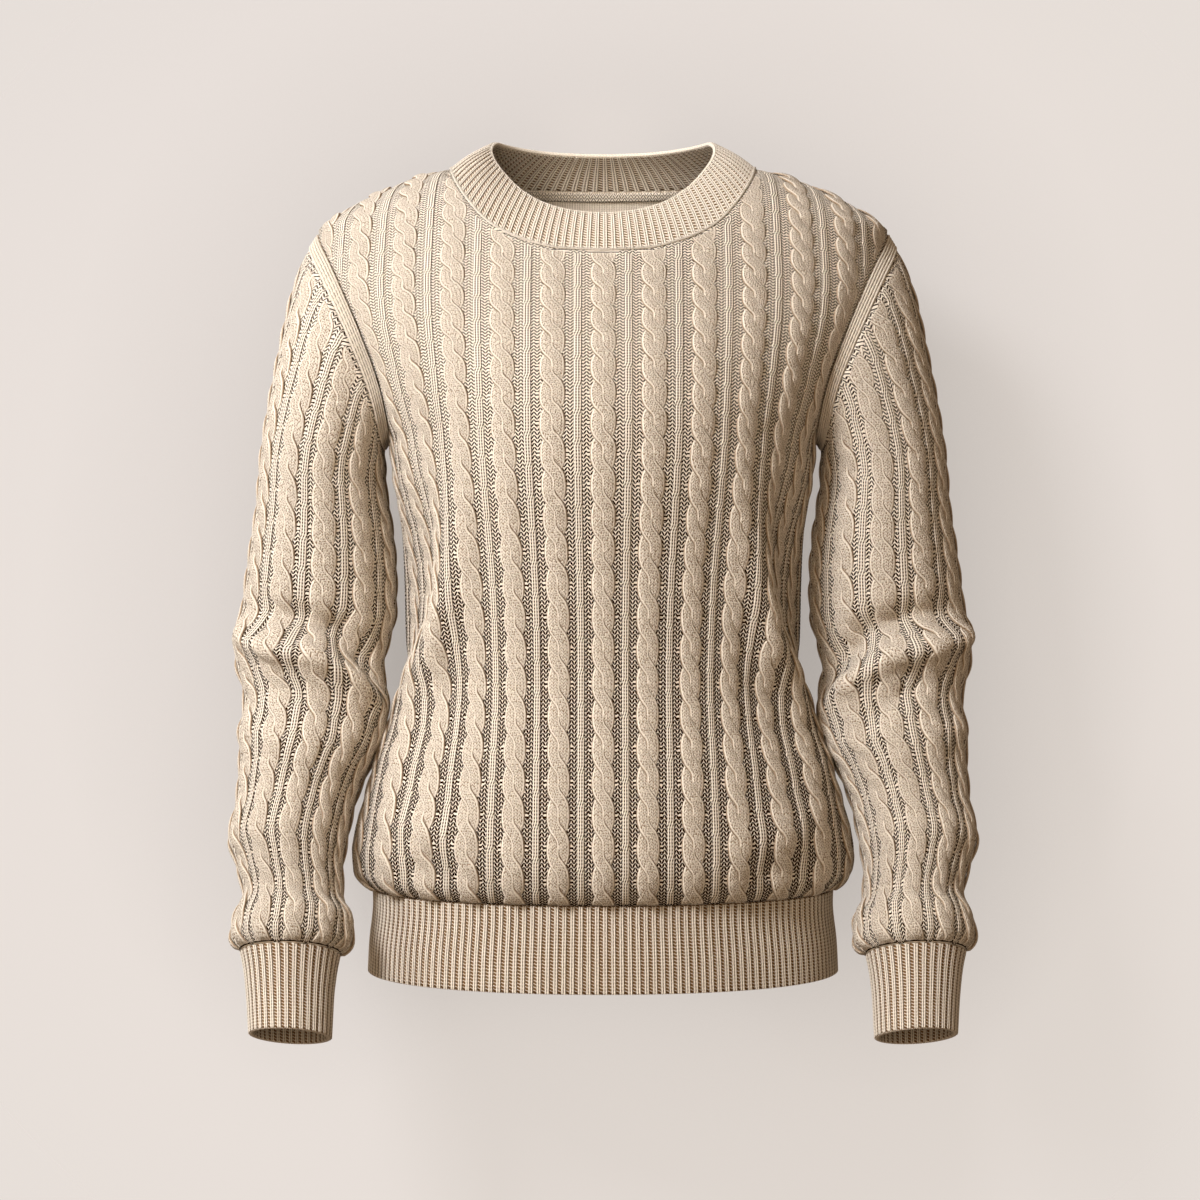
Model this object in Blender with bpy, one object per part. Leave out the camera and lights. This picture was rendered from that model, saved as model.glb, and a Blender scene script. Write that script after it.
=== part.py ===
"""Cable knit crew-neck sweater, hollow as it is worn: the knitted pieces as thin walls, sewn edge to edge.

X runs across the chest, -Y is the front and Z is up, in metres. The origin is centred between the shoulders.
Lengths in the tables below are millimetres.
"""

import math

import bpy
import numpy as np
from mathutils import Vector
from mathutils.geometry import delaunay_2d_cdt

# Wall and seams
WALL = 2.4
SEAM_GAP = 0.3
CABLE_RISE = 2.6
MINI_RISE = 1.0
RIB_RISE = 0.9

# Knitted columns
CABLE_HALF = 8.8
STRAND_OFFSET = 3.6
CROSSING_PITCH = 23.0
COLUMN_PITCH = 35.4
BODY_COLUMNS = 6.8  # column pitches from the centre to a side seam
SLEEVE_COLUMNS = 8
FLAT_HALF = COLUMN_PITCH * BODY_COLUMNS
BODY_LENGTH = 560.0  # column lengths past every edge, cut back to the outlines
SLEEVE_LENGTH = 640.0

# Heights of the main seams
HEM_Z = -512.0
ARMPIT_Z = -182.0
SHOULDER_Z = -28.0
NECK_SIDE_Z = 18.5
SECTION_POWER = 2.15
SIDE_Y = 4.0

# Level sections of the body: height, half width, front depth, back depth, centre spacing of the columns
BODY_SECTIONS = (
    # z, half_width, front, back, centre_spacing
    (-512, 169.5, 112, 101, 30.8),
    (-506, 177.5, 119, 107, 30.8),
    (-497, 184, 124, 111, 30.8),
    (-485, 184.5, 127, 113, 30.8),
    (-470, 182.5, 127, 112, 30.8),
    (-448, 176, 125, 108, 30.8),
    (-418, 165, 119, 101, 30.8),
    (-389, 150, 113, 94, 30.8),
    (-359, 142.5, 108, 89, 30.8),
    (-330, 146, 106, 87, 31.0),
    (-290, 147, 108, 88, 31.8),
    (-256, 148.5, 112, 92, 33.0),
    (-211, 154, 118, 99, 34.6),
    (-182, 156.5, 119, 103, 35.4),
    (-140, 166, 114, 106, 35.4),
    (-100, 180, 103, 105, 35.4),
    (-54, 200, 88, 96, 35.4),
    (-20, 205, 74, 80, 35.4),
    (0, 178, 61, 72, 35.4),
    (18.5, 120, 42, 60, 35.4),
)

# Armhole edge from the armpit up to the shoulder tip, then the shoulder seam in to the neck
EDGE_LINE = (
    # z, x, front_y, back_y
    (-182, 156.5, 4, 4),
    (-180, 156.5, -10, 18),
    (-174, 156.5, -26, 33),
    (-163, 157.5, -39, 46),
    (-145, 161, -48, 55),
    (-108, 174, -52, 59),
    (-78, 187, -45, 52),
    (-55, 198, -31, 40),
    (-38, 207, -14, 25),
    (-30, 210.5, -1, 13),
    (-28, 211, 6, 6),
    (-22, 204.5, 6, 6),
    (-7.5, 181, 6, 6),
    (8, 147, 6, 6),
    (18.5, 112, 6, 6),
)

# Neck seam on each panel as heights by distance from the centre, and the rim as an oval seen from above
NECK_SIDE_X = 112.0
FRONT_NECK = (
    # x, z
    (0, -54),
    (30, -52.5),
    (55, -46),
    (76, -36),
    (86, -27.5),
    (96, -15),
    (103, -4),
    (109, 8.5),
    (112, 18.5),
)
BACK_NECK = ((0, 14), (50, 14.5), (85, 16), (105, 17.5), (112, 18.5))
NECK_RIM_HALF = (82.5, 50.0)
NECK_RIM_MID_Y = -17.0
NECK_RIM_Z = ((-67, -24.5), (-63, -20), (-59, -15), (-52, -5.5), (-38, 12.7), (-17, 31), (0, 38), (33, 35.5))
NECK_SIDE_TURN = 104.0  # degrees round from the front to the shoulder seam
NECK_RIBS = 100

HEM_RIBS = 158
# Hem band sections: height, half width, front depth, back depth
HEM_SECTIONS = (
    # z, half_width, front, back
    (-512, 169.5, 112, 101),
    (-522, 169, 112.5, 102),
    (-552, 172, 114.5, 104),
    (-573, 173, 115.5, 105),
)

# Sleeve rings, as the ends of each ring's diameter seen from the front, its middle depth and its half depth
SLEEVE_RINGS = (
    # outer_x, outer_z, inner_x, inner_z, mid_y, half_depth
    (211, -28, 156.5, -182, 6, 55),
    (222.5, -49, 161.5, -187, 6, 57),
    (231.5, -80, 163, -193.5, 6, 58),
    (239.5, -118, 162.5, -200, 6, 58),
    (247.5, -160, 163, -207, 6, 58),
    (253, -198, 162.5, -216, 6, 57),
    (255.5, -230, 160, -232, 6, 57),
    (259.5, -256, 156.5, -256, 6, 57),
    (263.5, -285, 154.5, -286, 5.5, 56.5),
    (266, -306, 154.5, -308, 4, 56),
    (270.5, -330, 160, -332, 0, 55),
    (269.5, -346, 163, -348, -4, 53.5),
    (262.5, -372, 159, -376, -10, 52),
    (263.5, -402, 163, -405, -19, 51),
    (263.5, -418, 170.5, -419, -25, 48),
    (264, -444, 181.5, -447, -34, 44),
    (268.5, -472, 186.5, -475, -45, 43),
    (262.5, -489, 188.5, -491, -51, 39.5),
    (256, -513, 186.5, -515, -59, 37.5),
    (262, -527, 179, -529, -65, 42.5),
    (263.5, -540, 179, -542, -70, 43),
    (256.5, -550, 187, -551, -73.5, 37),
)
CUFF_RINGS = (
    # outer_x, outer_z, inner_x, inner_z, mid_y, half_depth
    (256, -551, 187.5, -552, -74, 36),
    (253.5, -560, 189, -562, -78, 34),
    (250, -581, 190.5, -583, -86, 32.5),
    (247, -604, 190.5, -606, -97, 31.5),
)
FOREARM_LEAN = 20.5
CUFF_RIBS = 36
BAND_WIDTH = 13.0
BAND_RIDGES = 4
BAND_RISE = 1.2
BAND_AROUND = 30
TAPE_WIDTH = 7.0
TAPE_THICKNESS = 1.2
SLEEVE_ROUND = 330.0  # flat width of a sleeve
BLEND_REACH = 9.0
NECK_POINTS = 31
ARMHOLE_POINTS = 16

# Soft folds: a ridge (or trough, where rise is negative) along points in x and z, seen from the front
BODY_FOLDS = (
    # rise, half_width, ((x, z), ...)
    (9.0, 14, ((105, -232), (106, -266), (109, -300), (121, -337), (136, -372), (150, -405), (160, -440))),
    (-8.0, 15, ((134, -205), (134, -262), (137, -310), (150, -350))),
    (-3.5, 10, ((150, -495), (120, -488), (92, -496))),
    (3.5, 14, ((160, -450), (128, -462), (88, -470))),
)
SLEEVE_FOLDS = (
    # rise, half_width, ((angle_degrees, z), ...), the angle from the outside of the arm round by the front
    (5.0, 10, ((0, -318), (50, -330), (100, -338), (140, -365), (165, -385))),
    (-4.0, 11, ((20, -300), (70, -306), (120, -312), (160, -340))),
    (-3.5, 10, ((20, -352), (80, -372), (130, -398))),
    (3.0, 9, ((-20, -400), (40, -392), (100, -410))),
    (3.0, 9, ((200, -330), (260, -322), (320, -316))),
    (-3.0, 10, ((200, -352), (260, -345), (330, -338))),
)

COLOURS = {
    "front_panel": (0.72, 0.60, 0.45),
    "back_panel": (0.72, 0.60, 0.45),
    "sleeve_right": (0.71, 0.59, 0.44),
    "sleeve_left": (0.71, 0.59, 0.44),
    "neckband": (0.70, 0.58, 0.43),
    "hem_band": (0.70, 0.58, 0.43),
    "cuff_right": (0.70, 0.58, 0.43),
    "cuff_left": (0.70, 0.58, 0.43),
    "armhole_band_right": (0.68, 0.56, 0.41),
    "armhole_band_left": (0.68, 0.56, 0.41),
    "neck_tape": (0.66, 0.54, 0.40),
}


def columns_of(table):
    return np.array(table, float).T


def smooth_interp(x, xs, ys):
    """Value at x on a curve through the points that doesn't overshoot them (monotone cubic)."""
    x = np.clip(np.asarray(x, float), xs[0], xs[-1])
    step = np.diff(xs)
    slope = np.diff(ys) / step
    tangent = np.zeros(len(xs))
    tangent[0] = slope[0]
    tangent[-1] = slope[-1]
    same_way = slope[:-1] * slope[1:] > 0
    harmonic = 2 * slope[:-1] * slope[1:] / np.where(same_way, slope[:-1] + slope[1:], 1)
    tangent[1:-1] = np.where(same_way, harmonic, 0)
    i = np.clip(np.searchsorted(xs, x, side="right") - 1, 0, len(xs) - 2)
    h = step[i]
    t = (x - xs[i]) / h
    ends = (2 * t**3 - 3 * t**2 + 1) * ys[i] + (3 * t**2 - 2 * t**3) * ys[i + 1]
    return ends + (t**3 - 2 * t**2 + t) * h * tangent[i] + (t**3 - t**2) * h * tangent[i + 1]


def unit(v):
    v = np.asarray(v, float)
    return v / np.maximum(np.linalg.norm(v, axis=-1, keepdims=True), 1e-9)


def fold_height(x, z, folds):
    """Sum of the soft ridges, each fading at its ends."""
    total = np.zeros(np.broadcast(x, z).shape)
    for rise, half_width, path in folds:
        px, pz = columns_of(path)
        best = np.full(total.shape, np.inf)
        along = np.zeros(total.shape)
        lengths = np.hypot(np.diff(px), np.diff(pz))
        before = np.concatenate([[0], np.cumsum(lengths)])
        for i, length in enumerate(lengths):
            dx, dz = (px[i + 1] - px[i]) / length, (pz[i + 1] - pz[i]) / length
            q = np.clip((x - px[i]) * dx + (z - pz[i]) * dz, 0, length)
            away = np.hypot(x - px[i] - q * dx, z - pz[i] - q * dz)
            nearer = away < best
            best = np.where(nearer, away, best)
            along = np.where(nearer, before[i] + q, along)
        taper = np.sin(np.pi * np.clip(0.06 + 0.88 * along / before[-1], 0, 1))
        total = total + rise * taper * np.exp(-((best / half_width) ** 2))
    return total


class Panel:
    """Front (side -1) or back (side 1) of the body.

    u is the fraction of the way to the side seam and t the length up a column.
    """

    def __init__(self, side):
        self.side = side
        z, half, front, back, spacing = columns_of(BODY_SECTIONS)
        depth = front if side < 0 else back
        edge_z, edge_x, front_y, back_y = columns_of(EDGE_LINE)
        edge_y = front_y if side < 0 else back_y
        body_levels = np.arange(HEM_Z, SHOULDER_Z, 3.0)
        self.z = np.concatenate([body_levels, np.arange(SHOULDER_Z, NECK_SIDE_Z, 0.6), [NECK_SIDE_Z]])
        self.u = np.linspace(0, 1, 121)
        low = self.z < ARMPIT_Z
        self.end_x = np.where(low, smooth_interp(self.z, z, half), smooth_interp(self.z, edge_z, edge_x))
        self.end_y = np.where(low, SIDE_Y, smooth_interp(self.z, edge_z, edge_y))
        depths = smooth_interp(self.z, z, depth)
        centre_spacing = smooth_interp(self.z, z, spacing)
        turn = np.linspace(0, math.pi / 2, 161)
        points = np.zeros((len(self.z), len(self.u), 3))
        self.end_u = np.zeros(len(self.z))
        middle_y = np.interp(self.z, [ARMPIT_Z, SHOULDER_Z], [SIDE_Y, EDGE_LINE[-1][2]])
        power = 2 / SECTION_POWER
        full = 0.0
        for i, level in enumerate(self.z):
            reach = depths[i] - side * middle_y[i]
            # the section passes through the armhole edge and runs on past it, so the columns keep their run
            edge_turn = math.acos(max(0.0, side * (self.end_y[i] - middle_y[i]) / reach) ** (1 / power))
            x = self.end_x[i] * (np.sin(turn) / math.sin(edge_turn)) ** power
            y = middle_y[i] + side * reach * np.cos(turn) ** power
            arc = np.concatenate([[0], np.cumsum(np.hypot(np.diff(x), np.diff(y)))])
            if level <= SHOULDER_Z:
                full = arc[-1]
            centre = min(1.3, centre_spacing[i] * BODY_COLUMNS / full)
            wanted = full * (centre * self.u + (1 - centre) * self.u**3)
            edge = np.interp(edge_turn, turn, arc)
            self.end_u[i] = min(1.0, np.interp(edge, wanted, self.u))
            points[i, :, 0] = np.interp(wanted, arc, x)
            points[i, :, 1] = np.interp(wanted, arc, y)
            points[i, :, 2] = level
        across = fold_height(points[..., 0], points[..., 2], BODY_FOLDS)
        outward = np.zeros_like(points)
        outward[..., 0] = points[..., 0] / 150.0**2
        outward[..., 1] = points[..., 1] / 110.0**2
        # the folds fade at the side and hem seams, so that the edges stay where the tables put them
        fade = np.clip((1 - self.u) / 0.12, 0, 1)[None, :] * np.clip((self.z - HEM_Z) / 15, 0, 1)[:, None]
        weight = 1.0 if side < 0 else 0.6
        points += unit(outward) * (across * fade * weight)[..., None]
        self.points = points
        steps = np.linalg.norm(np.diff(points, axis=0), axis=2)
        self.t = np.concatenate([np.zeros((1, len(self.u))), np.cumsum(steps, axis=0)])

    def at(self, u, t):
        """Point at fraction u (negative to -X) and column length t."""
        place = min(abs(u), 1.0) * (len(self.u) - 1)
        i = min(int(place), len(self.u) - 2)
        a, b = (self.on_column(j, t) for j in (i, i + 1))
        p = a + (b - a) * (place - i)
        p[0] *= -1 if u < 0 else 1
        return p

    def on_column(self, j, t):
        return np.array([np.interp(t, self.t[:, j], self.points[:, j, k]) for k in range(3)])

    def normal(self, u, t):
        du, dt = 0.006, 2.0
        across = self.at(u + du, t) - self.at(u - du, t)
        up = self.at(u, t + dt) - self.at(u, t - dt)
        n = unit(np.cross(across, up))
        return n if self.side < 0 else -n

    def place_of(self, x, z):
        """Fraction and column length of the point at this distance from the centre and this height."""
        row = np.array([np.interp(z, self.z, self.points[:, j, 0]) for j in range(len(self.u))])
        u = float(np.interp(abs(x), row, self.u)) * (1 if x >= 0 else -1)
        return u, self.length_at(u, z)

    def length_at(self, u, z):
        place = min(abs(u), 1.0) * (len(self.u) - 1)
        i = min(int(place), len(self.u) - 2)
        a, b = (np.interp(z, self.z, self.t[:, j]) for j in (i, i + 1))
        return a + (b - a) * (place - i)


class Neck:
    """The neck seam and the neckband's rim, by angle: 0 at the front, growing towards +X."""

    def __init__(self, front, back):
        self.lines = {}
        for panel, heights in ((front, FRONT_NECK), (back, BACK_NECK)):
            nx, nz = columns_of(heights)
            turn = np.linspace(-math.pi / 2, math.pi / 2, NECK_POINTS)
            x = NECK_SIDE_X * np.sin(turn)
            z = smooth_interp(np.abs(x), nx, nz)
            places = [panel.place_of(px, pz) for px, pz in zip(x, z)]
            points = np.array([panel.at(*place) for place in places])
            points[0] = (-NECK_SIDE_X, EDGE_LINE[-1][2], NECK_SIDE_Z)
            points[-1] = (NECK_SIDE_X, EDGE_LINE[-1][2], NECK_SIDE_Z)
            self.lines[panel.side] = (turn, points, np.array(places))

    def seam(self, angle):
        angle = (angle + math.pi) % (2 * math.pi) - math.pi
        side_turn = math.radians(NECK_SIDE_TURN)
        if abs(angle) <= side_turn:
            turn, points, _ = self.lines[-1]
            at = angle / side_turn * math.pi / 2
        else:
            turn, points, _ = self.lines[1]
            left = math.pi - abs(angle)
            at = math.copysign(left / (math.pi - side_turn) * math.pi / 2, angle)
        return np.array([np.interp(at, turn, points[:, k]) for k in range(3)])

    def rim(self, angle):
        x = NECK_RIM_HALF[0] * math.sin(angle)
        y = NECK_RIM_MID_Y - NECK_RIM_HALF[1] * math.cos(angle)
        hy, hz = columns_of(NECK_RIM_Z)
        return np.array([x, y, float(smooth_interp(y, hy, hz))])

    def direction(self, angle):
        """Outward direction shared by the panels and the neckband along their seam."""
        along = self.seam(angle + 0.04) - self.seam(angle - 0.04)
        inward = self.rim(angle) - self.seam(angle)
        band = unit(np.cross(along, inward))
        side = math.sin(angle)
        body = unit(np.array([0.5 * side, -0.75 * math.cos(angle), 0.35 + 0.55 * side**2]))
        return unit(band + body)


class Sleeve:
    """A sleeve by angle psi and length t up from the cuff.

    psi is 0 outside the arm, 90 degrees at the front and 180 underarm.
    """

    def __init__(self, rings, lean_all=False):
        outer_x, outer_z, inner_x, inner_z, mid_y, half_depth = columns_of(rings)
        count = len(outer_x)
        chord = np.hypot(np.diff(outer_x + inner_x) / 2, np.diff(outer_z + inner_z) / 2)
        place = np.concatenate([[0], np.cumsum(np.maximum(chord, 4))])
        self.w = np.linspace(0, place[-1], 161)
        tables = (outer_x, outer_z, inner_x, inner_z, mid_y, half_depth)
        ox, oz, ix, iz, my, hd = (smooth_interp(self.w, place, v) for v in tables)
        mid_z = (oz + iz) / 2
        if lean_all:
            lean = np.full(len(self.w), math.radians(FOREARM_LEAN))
        else:
            lean = np.radians(FOREARM_LEAN) * np.clip((-330 - mid_z) / 150, 0, 1)
        self.psi = np.radians(np.arange(0, 361, 3.0))
        out = np.stack([(ox - ix) / 2, np.zeros(len(ox)), (oz - iz) / 2], 1)
        centre = np.stack([(ox + ix) / 2, my, mid_z], 1)
        forward = np.stack([np.zeros(len(ox)), -np.cos(lean), np.sin(lean)], 1) * hd[:, None]
        c, s = np.cos(self.psi), np.sin(self.psi)
        points = centre[:, None] + out[:, None] * c[None, :, None] + forward[:, None] * s[None, :, None]
        if not lean_all:
            armhole = np.array([armhole_point(a) for a in self.psi])
            keep = 1 - np.clip(self.w / place[5], 0, 1)
            keep = keep**1.5
            shift = armhole - points[0]
            points = points + shift[None] * keep[:, None, None]
            angle = np.degrees(self.psi)[None, :] + 0 * points[..., 2]
            folds = sum(fold_height(angle - turn, points[..., 2], SLEEVE_FOLDS) for turn in (0, 360))
            fade = np.clip(np.minimum(self.w, place[-1] - self.w) / 12, 0, 1)
            points = points + unit(points - centre[:, None]) * (folds * fade[:, None])[..., None]
        self.points = points
        self.centre = centre
        steps = np.linalg.norm(np.diff(points, axis=0), axis=2)
        down = np.concatenate([np.zeros((1, len(self.psi))), np.cumsum(steps, axis=0)])
        self.t = down[-1] - down

    def at(self, psi, t):
        place = (psi % (2 * math.pi)) / math.radians(3.0)
        i = min(int(place), len(self.psi) - 2)
        t_down, p_down = self.t[::-1], self.points[::-1]
        a, b = (np.array([np.interp(t, t_down[:, j], p_down[:, j, k]) for k in range(3)]) for j in (i, i + 1))
        return a + (b - a) * (place - i)

    def top(self, psi):
        """Length of the column at psi from the cuff seam to the armhole."""
        return float(np.interp(psi % (2 * math.pi), self.psi, self.t[0]))

    def normal(self, psi, t):
        across = self.at(psi + 0.06, t) - self.at(psi - 0.06, t)
        up = self.at(psi, t + 2.5) - self.at(psi, t - 2.5)
        return unit(np.cross(up, across))


def armhole_line(side):
    """Armhole edge from the shoulder tip down to the armpit, on one side, as points."""
    rows = [row for row in EDGE_LINE if row[0] <= SHOULDER_Z][::-1]
    edge_z, edge_x, front_y, back_y = columns_of(EDGE_LINE)
    edge_y = front_y if side < 0 else back_y
    levels = []
    for upper, lower in zip(rows[:-1], rows[1:]):
        levels += list(np.linspace(upper[0], lower[0], 7)[:-1])
    levels = np.array(levels + [rows[-1][0]])
    x = smooth_interp(levels, edge_z, edge_x)
    y = smooth_interp(levels, edge_z, edge_y)
    return np.stack([x, y, levels], 1)


def armhole_point(psi):
    """Point of the armhole loop: psi 0 at the shoulder tip, 90 degrees at the front, 180 at the armpit."""
    psi = psi % (2 * math.pi)
    side = -1 if psi <= math.pi else 1
    line = armhole_line(side)
    run = np.concatenate([[0], np.cumsum(np.linalg.norm(np.diff(line, axis=0), axis=1))])
    part = (psi if psi <= math.pi else 2 * math.pi - psi) / math.pi
    return np.array([np.interp(part * run[-1], run, line[:, k]) for k in range(3)])


def armhole_direction(point):
    """Outward direction shared by the panels and the sleeve pieces along the armhole on the +X side."""
    round_y = (point[1] - 5.0) / 55.0
    round_z = (point[2] + 105.0) / 77.0
    size = max(math.hypot(round_y, round_z), 1e-6)
    return unit(np.array([0.35 + 0.6 * (round_z / size) ** 2, round_y / size, round_z / size]))


def cable_rise(offset, t):
    """Height of a two-strand rope cable at this distance from its middle."""
    turn = math.pi * t / CROSSING_PITCH
    best = 0.0
    for strand in (0, math.pi):
        middle = STRAND_OFFSET * math.cos(turn + strand)
        lift = 0.62 + 0.38 * math.sin(turn + strand)
        round_part = 1 - ((offset - middle) / (CABLE_HALF - STRAND_OFFSET + 0.6)) ** 2
        best = max(best, CABLE_RISE * lift * math.sqrt(max(round_part, 0)))
    return best


def make_mesh(name, points, faces):
    mesh = bpy.data.meshes.new(name)
    mesh.from_pydata([Vector(p) * 0.001 for p in points], [], faces)
    mesh.validate()
    obj = bpy.data.objects.new(name, mesh)
    bpy.context.scene.collection.objects.link(obj)
    material = bpy.data.materials.new(name + "_knit")
    material.use_nodes = True
    shader = material.node_tree.nodes["Principled BSDF"]
    shader.inputs["Base Color"].default_value = (*COLOURS[name], 1)
    shader.inputs["Roughness"].default_value = 0.9
    mesh.materials.append(material)
    return obj


def inside(points, loop):
    """Which of the points lie inside the closed loop."""
    x, y = points[:, 0], points[:, 1]
    result = np.zeros(len(points), bool)
    for (x0, y0), (x1, y1) in zip(loop, np.roll(loop, -1, axis=0)):
        crosses = (y0 > y) != (y1 > y)
        at = (x1 - x0) * (y - y0) / np.where(y1 == y0, 1, y1 - y0) + x0
        result ^= crosses & (x < at)
    return result


def distance_to_loop(points, loop):
    best = np.full(len(points), np.inf)
    for start, end in zip(loop, np.roll(loop, -1, axis=0)):
        along = end - start
        q = np.clip(((points - start) @ along) / (along @ along), 0, 1)
        best = np.minimum(best, np.linalg.norm(points - start - q[:, None] * along, axis=1))
    return best


def filled(loop, inner, links, clear):
    """Triangles over a flat outline: (inner points kept, triangles).

    Points nearer the outline than clear are left out.
    """
    inner = np.array(inner, float)
    keep = inside(inner, loop) & (distance_to_loop(inner, loop) > clear)
    new_index = np.cumsum(keep) - 1 + len(loop)
    edges = [(int(new_index[a]), int(new_index[b])) for a, b in links if keep[a] and keep[b]]
    coords = [Vector(p) for p in loop] + [Vector(p) for p in inner[keep]]
    out_points, _, out_faces, origin, _, _ = delaunay_2d_cdt(coords, edges, [list(range(len(loop)))], 1, 1e-5)
    if len(out_points) != len(coords):
        raise ValueError("the flat outline crosses itself or a link")
    source = [o[0] for o in origin]
    faces = [[source[i] for i in face] for face in out_faces]
    return keep, faces


def cable_points(centres, lengths):
    """Flat points (s, t, rise) of the cable columns, and the links that keep their slanted ridges."""
    points = []
    links = []
    for centre in centres:
        previous = None
        lobes = int(lengths / CROSSING_PITCH) + 1
        for lobe in range(lobes):
            low = (lobe + 0.25) * CROSSING_PITCH
            high = (lobe + 0.75) * CROSSING_PITCH
            middle = (lobe + 0.5) * CROSSING_PITCH
            first = len(points)
            for s, t in (
                (centre + STRAND_OFFSET, low),
                (centre - STRAND_OFFSET, high),
                (centre - CABLE_HALF, middle),
                (centre + CABLE_HALF, middle),
            ):
                points.append((s, t, cable_rise(s - centre, t) if abs(s - centre) < CABLE_HALF else 0.0))
            links.append((first, first + 1))
            if previous is not None:
                links.append((previous + 1, first))
                links.append((previous + 2, first + 2))
                links.append((previous + 3, first + 3))
            previous = first
    return points, links


def shell(name, loop, outer, links, coarse, at, normal, near_edges, weld=()):
    """A knitted piece as a closed wall: raised points over a plain inside, joined round its outline.

    loop holds the outline's flat places, points and wall directions. near_edges blends the wall's
    direction into the shared seam directions. weld lists pairs of loop indices that meet.
    """
    loop_flat, loop_points, loop_directions = (np.array(column, float) for column in zip(*loop))
    count = len(loop_flat)
    points = []
    faces = []

    def direction(flat, point):
        return near_edges(point, normal(*flat))

    keep, tops = filled(loop_flat, [p[:2] for p in outer], links, 5.0)
    points += list(loop_points)
    for flag, (s, t, rise) in zip(keep, outer):
        if flag:
            base = at(s, t)
            points.append(base + direction((s, t), base) * rise)
    faces += tops
    start = len(points)
    keep, bottoms = filled(loop_flat, coarse, (), 9.0)
    points += [p - d * WALL for p, d in zip(loop_points, loop_directions)]
    for flag, (s, t) in zip(keep, coarse):
        if flag:
            base = at(s, t)
            points.append(base - direction((s, t), base) * WALL)
    faces += [[start + i for i in face[::-1]] for face in bottoms]
    welded = dict(weld)
    welded.update({start + a: start + b for a, b in weld})
    meeting = (set(dict(weld)), set(dict(weld).values()))
    for i in range(count):
        j = (i + 1) % count
        if any(i in edge and j in edge for edge in meeting):
            continue
        faces.append([j, i, start + i])
        faces.append([j, start + i, start + j])
    faces = [[welded.get(i, i) for i in face] for face in faces]
    used = sorted({i for face in faces for i in face})
    place = {old: new for new, old in enumerate(used)}
    return make_mesh(name, [points[i] for i in used], [[place[i] for i in face] for face in faces])


def mirrored(values):
    return np.asarray(values, float) * np.array([-1.0, 1.0, 1.0])


def blended_direction(lines):
    """A function that turns a wall's own direction into the shared ones near the given lines."""
    places = np.concatenate([line for line, _ in lines])
    ways = np.concatenate([way for _, way in lines])

    def blend(point, own):
        away = np.linalg.norm(places - point, axis=1)
        nearest = int(np.argmin(away))
        weight = math.exp(-((away[nearest] / BLEND_REACH) ** 2))
        return unit(own * (1 - weight) + ways[nearest] * weight)

    return blend


def coarse_grid(width, levels, across):
    """Points of the plain inside of a wall, in staggered rows at the given lengths up the cloth."""
    points = []
    for row, level in enumerate(levels):
        shift = across / 2 if row % 2 else 0
        for column in range(-int(width / across) - 1, int(width / across) + 2):
            points.append((column * across + shift, level))
    return points


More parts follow.
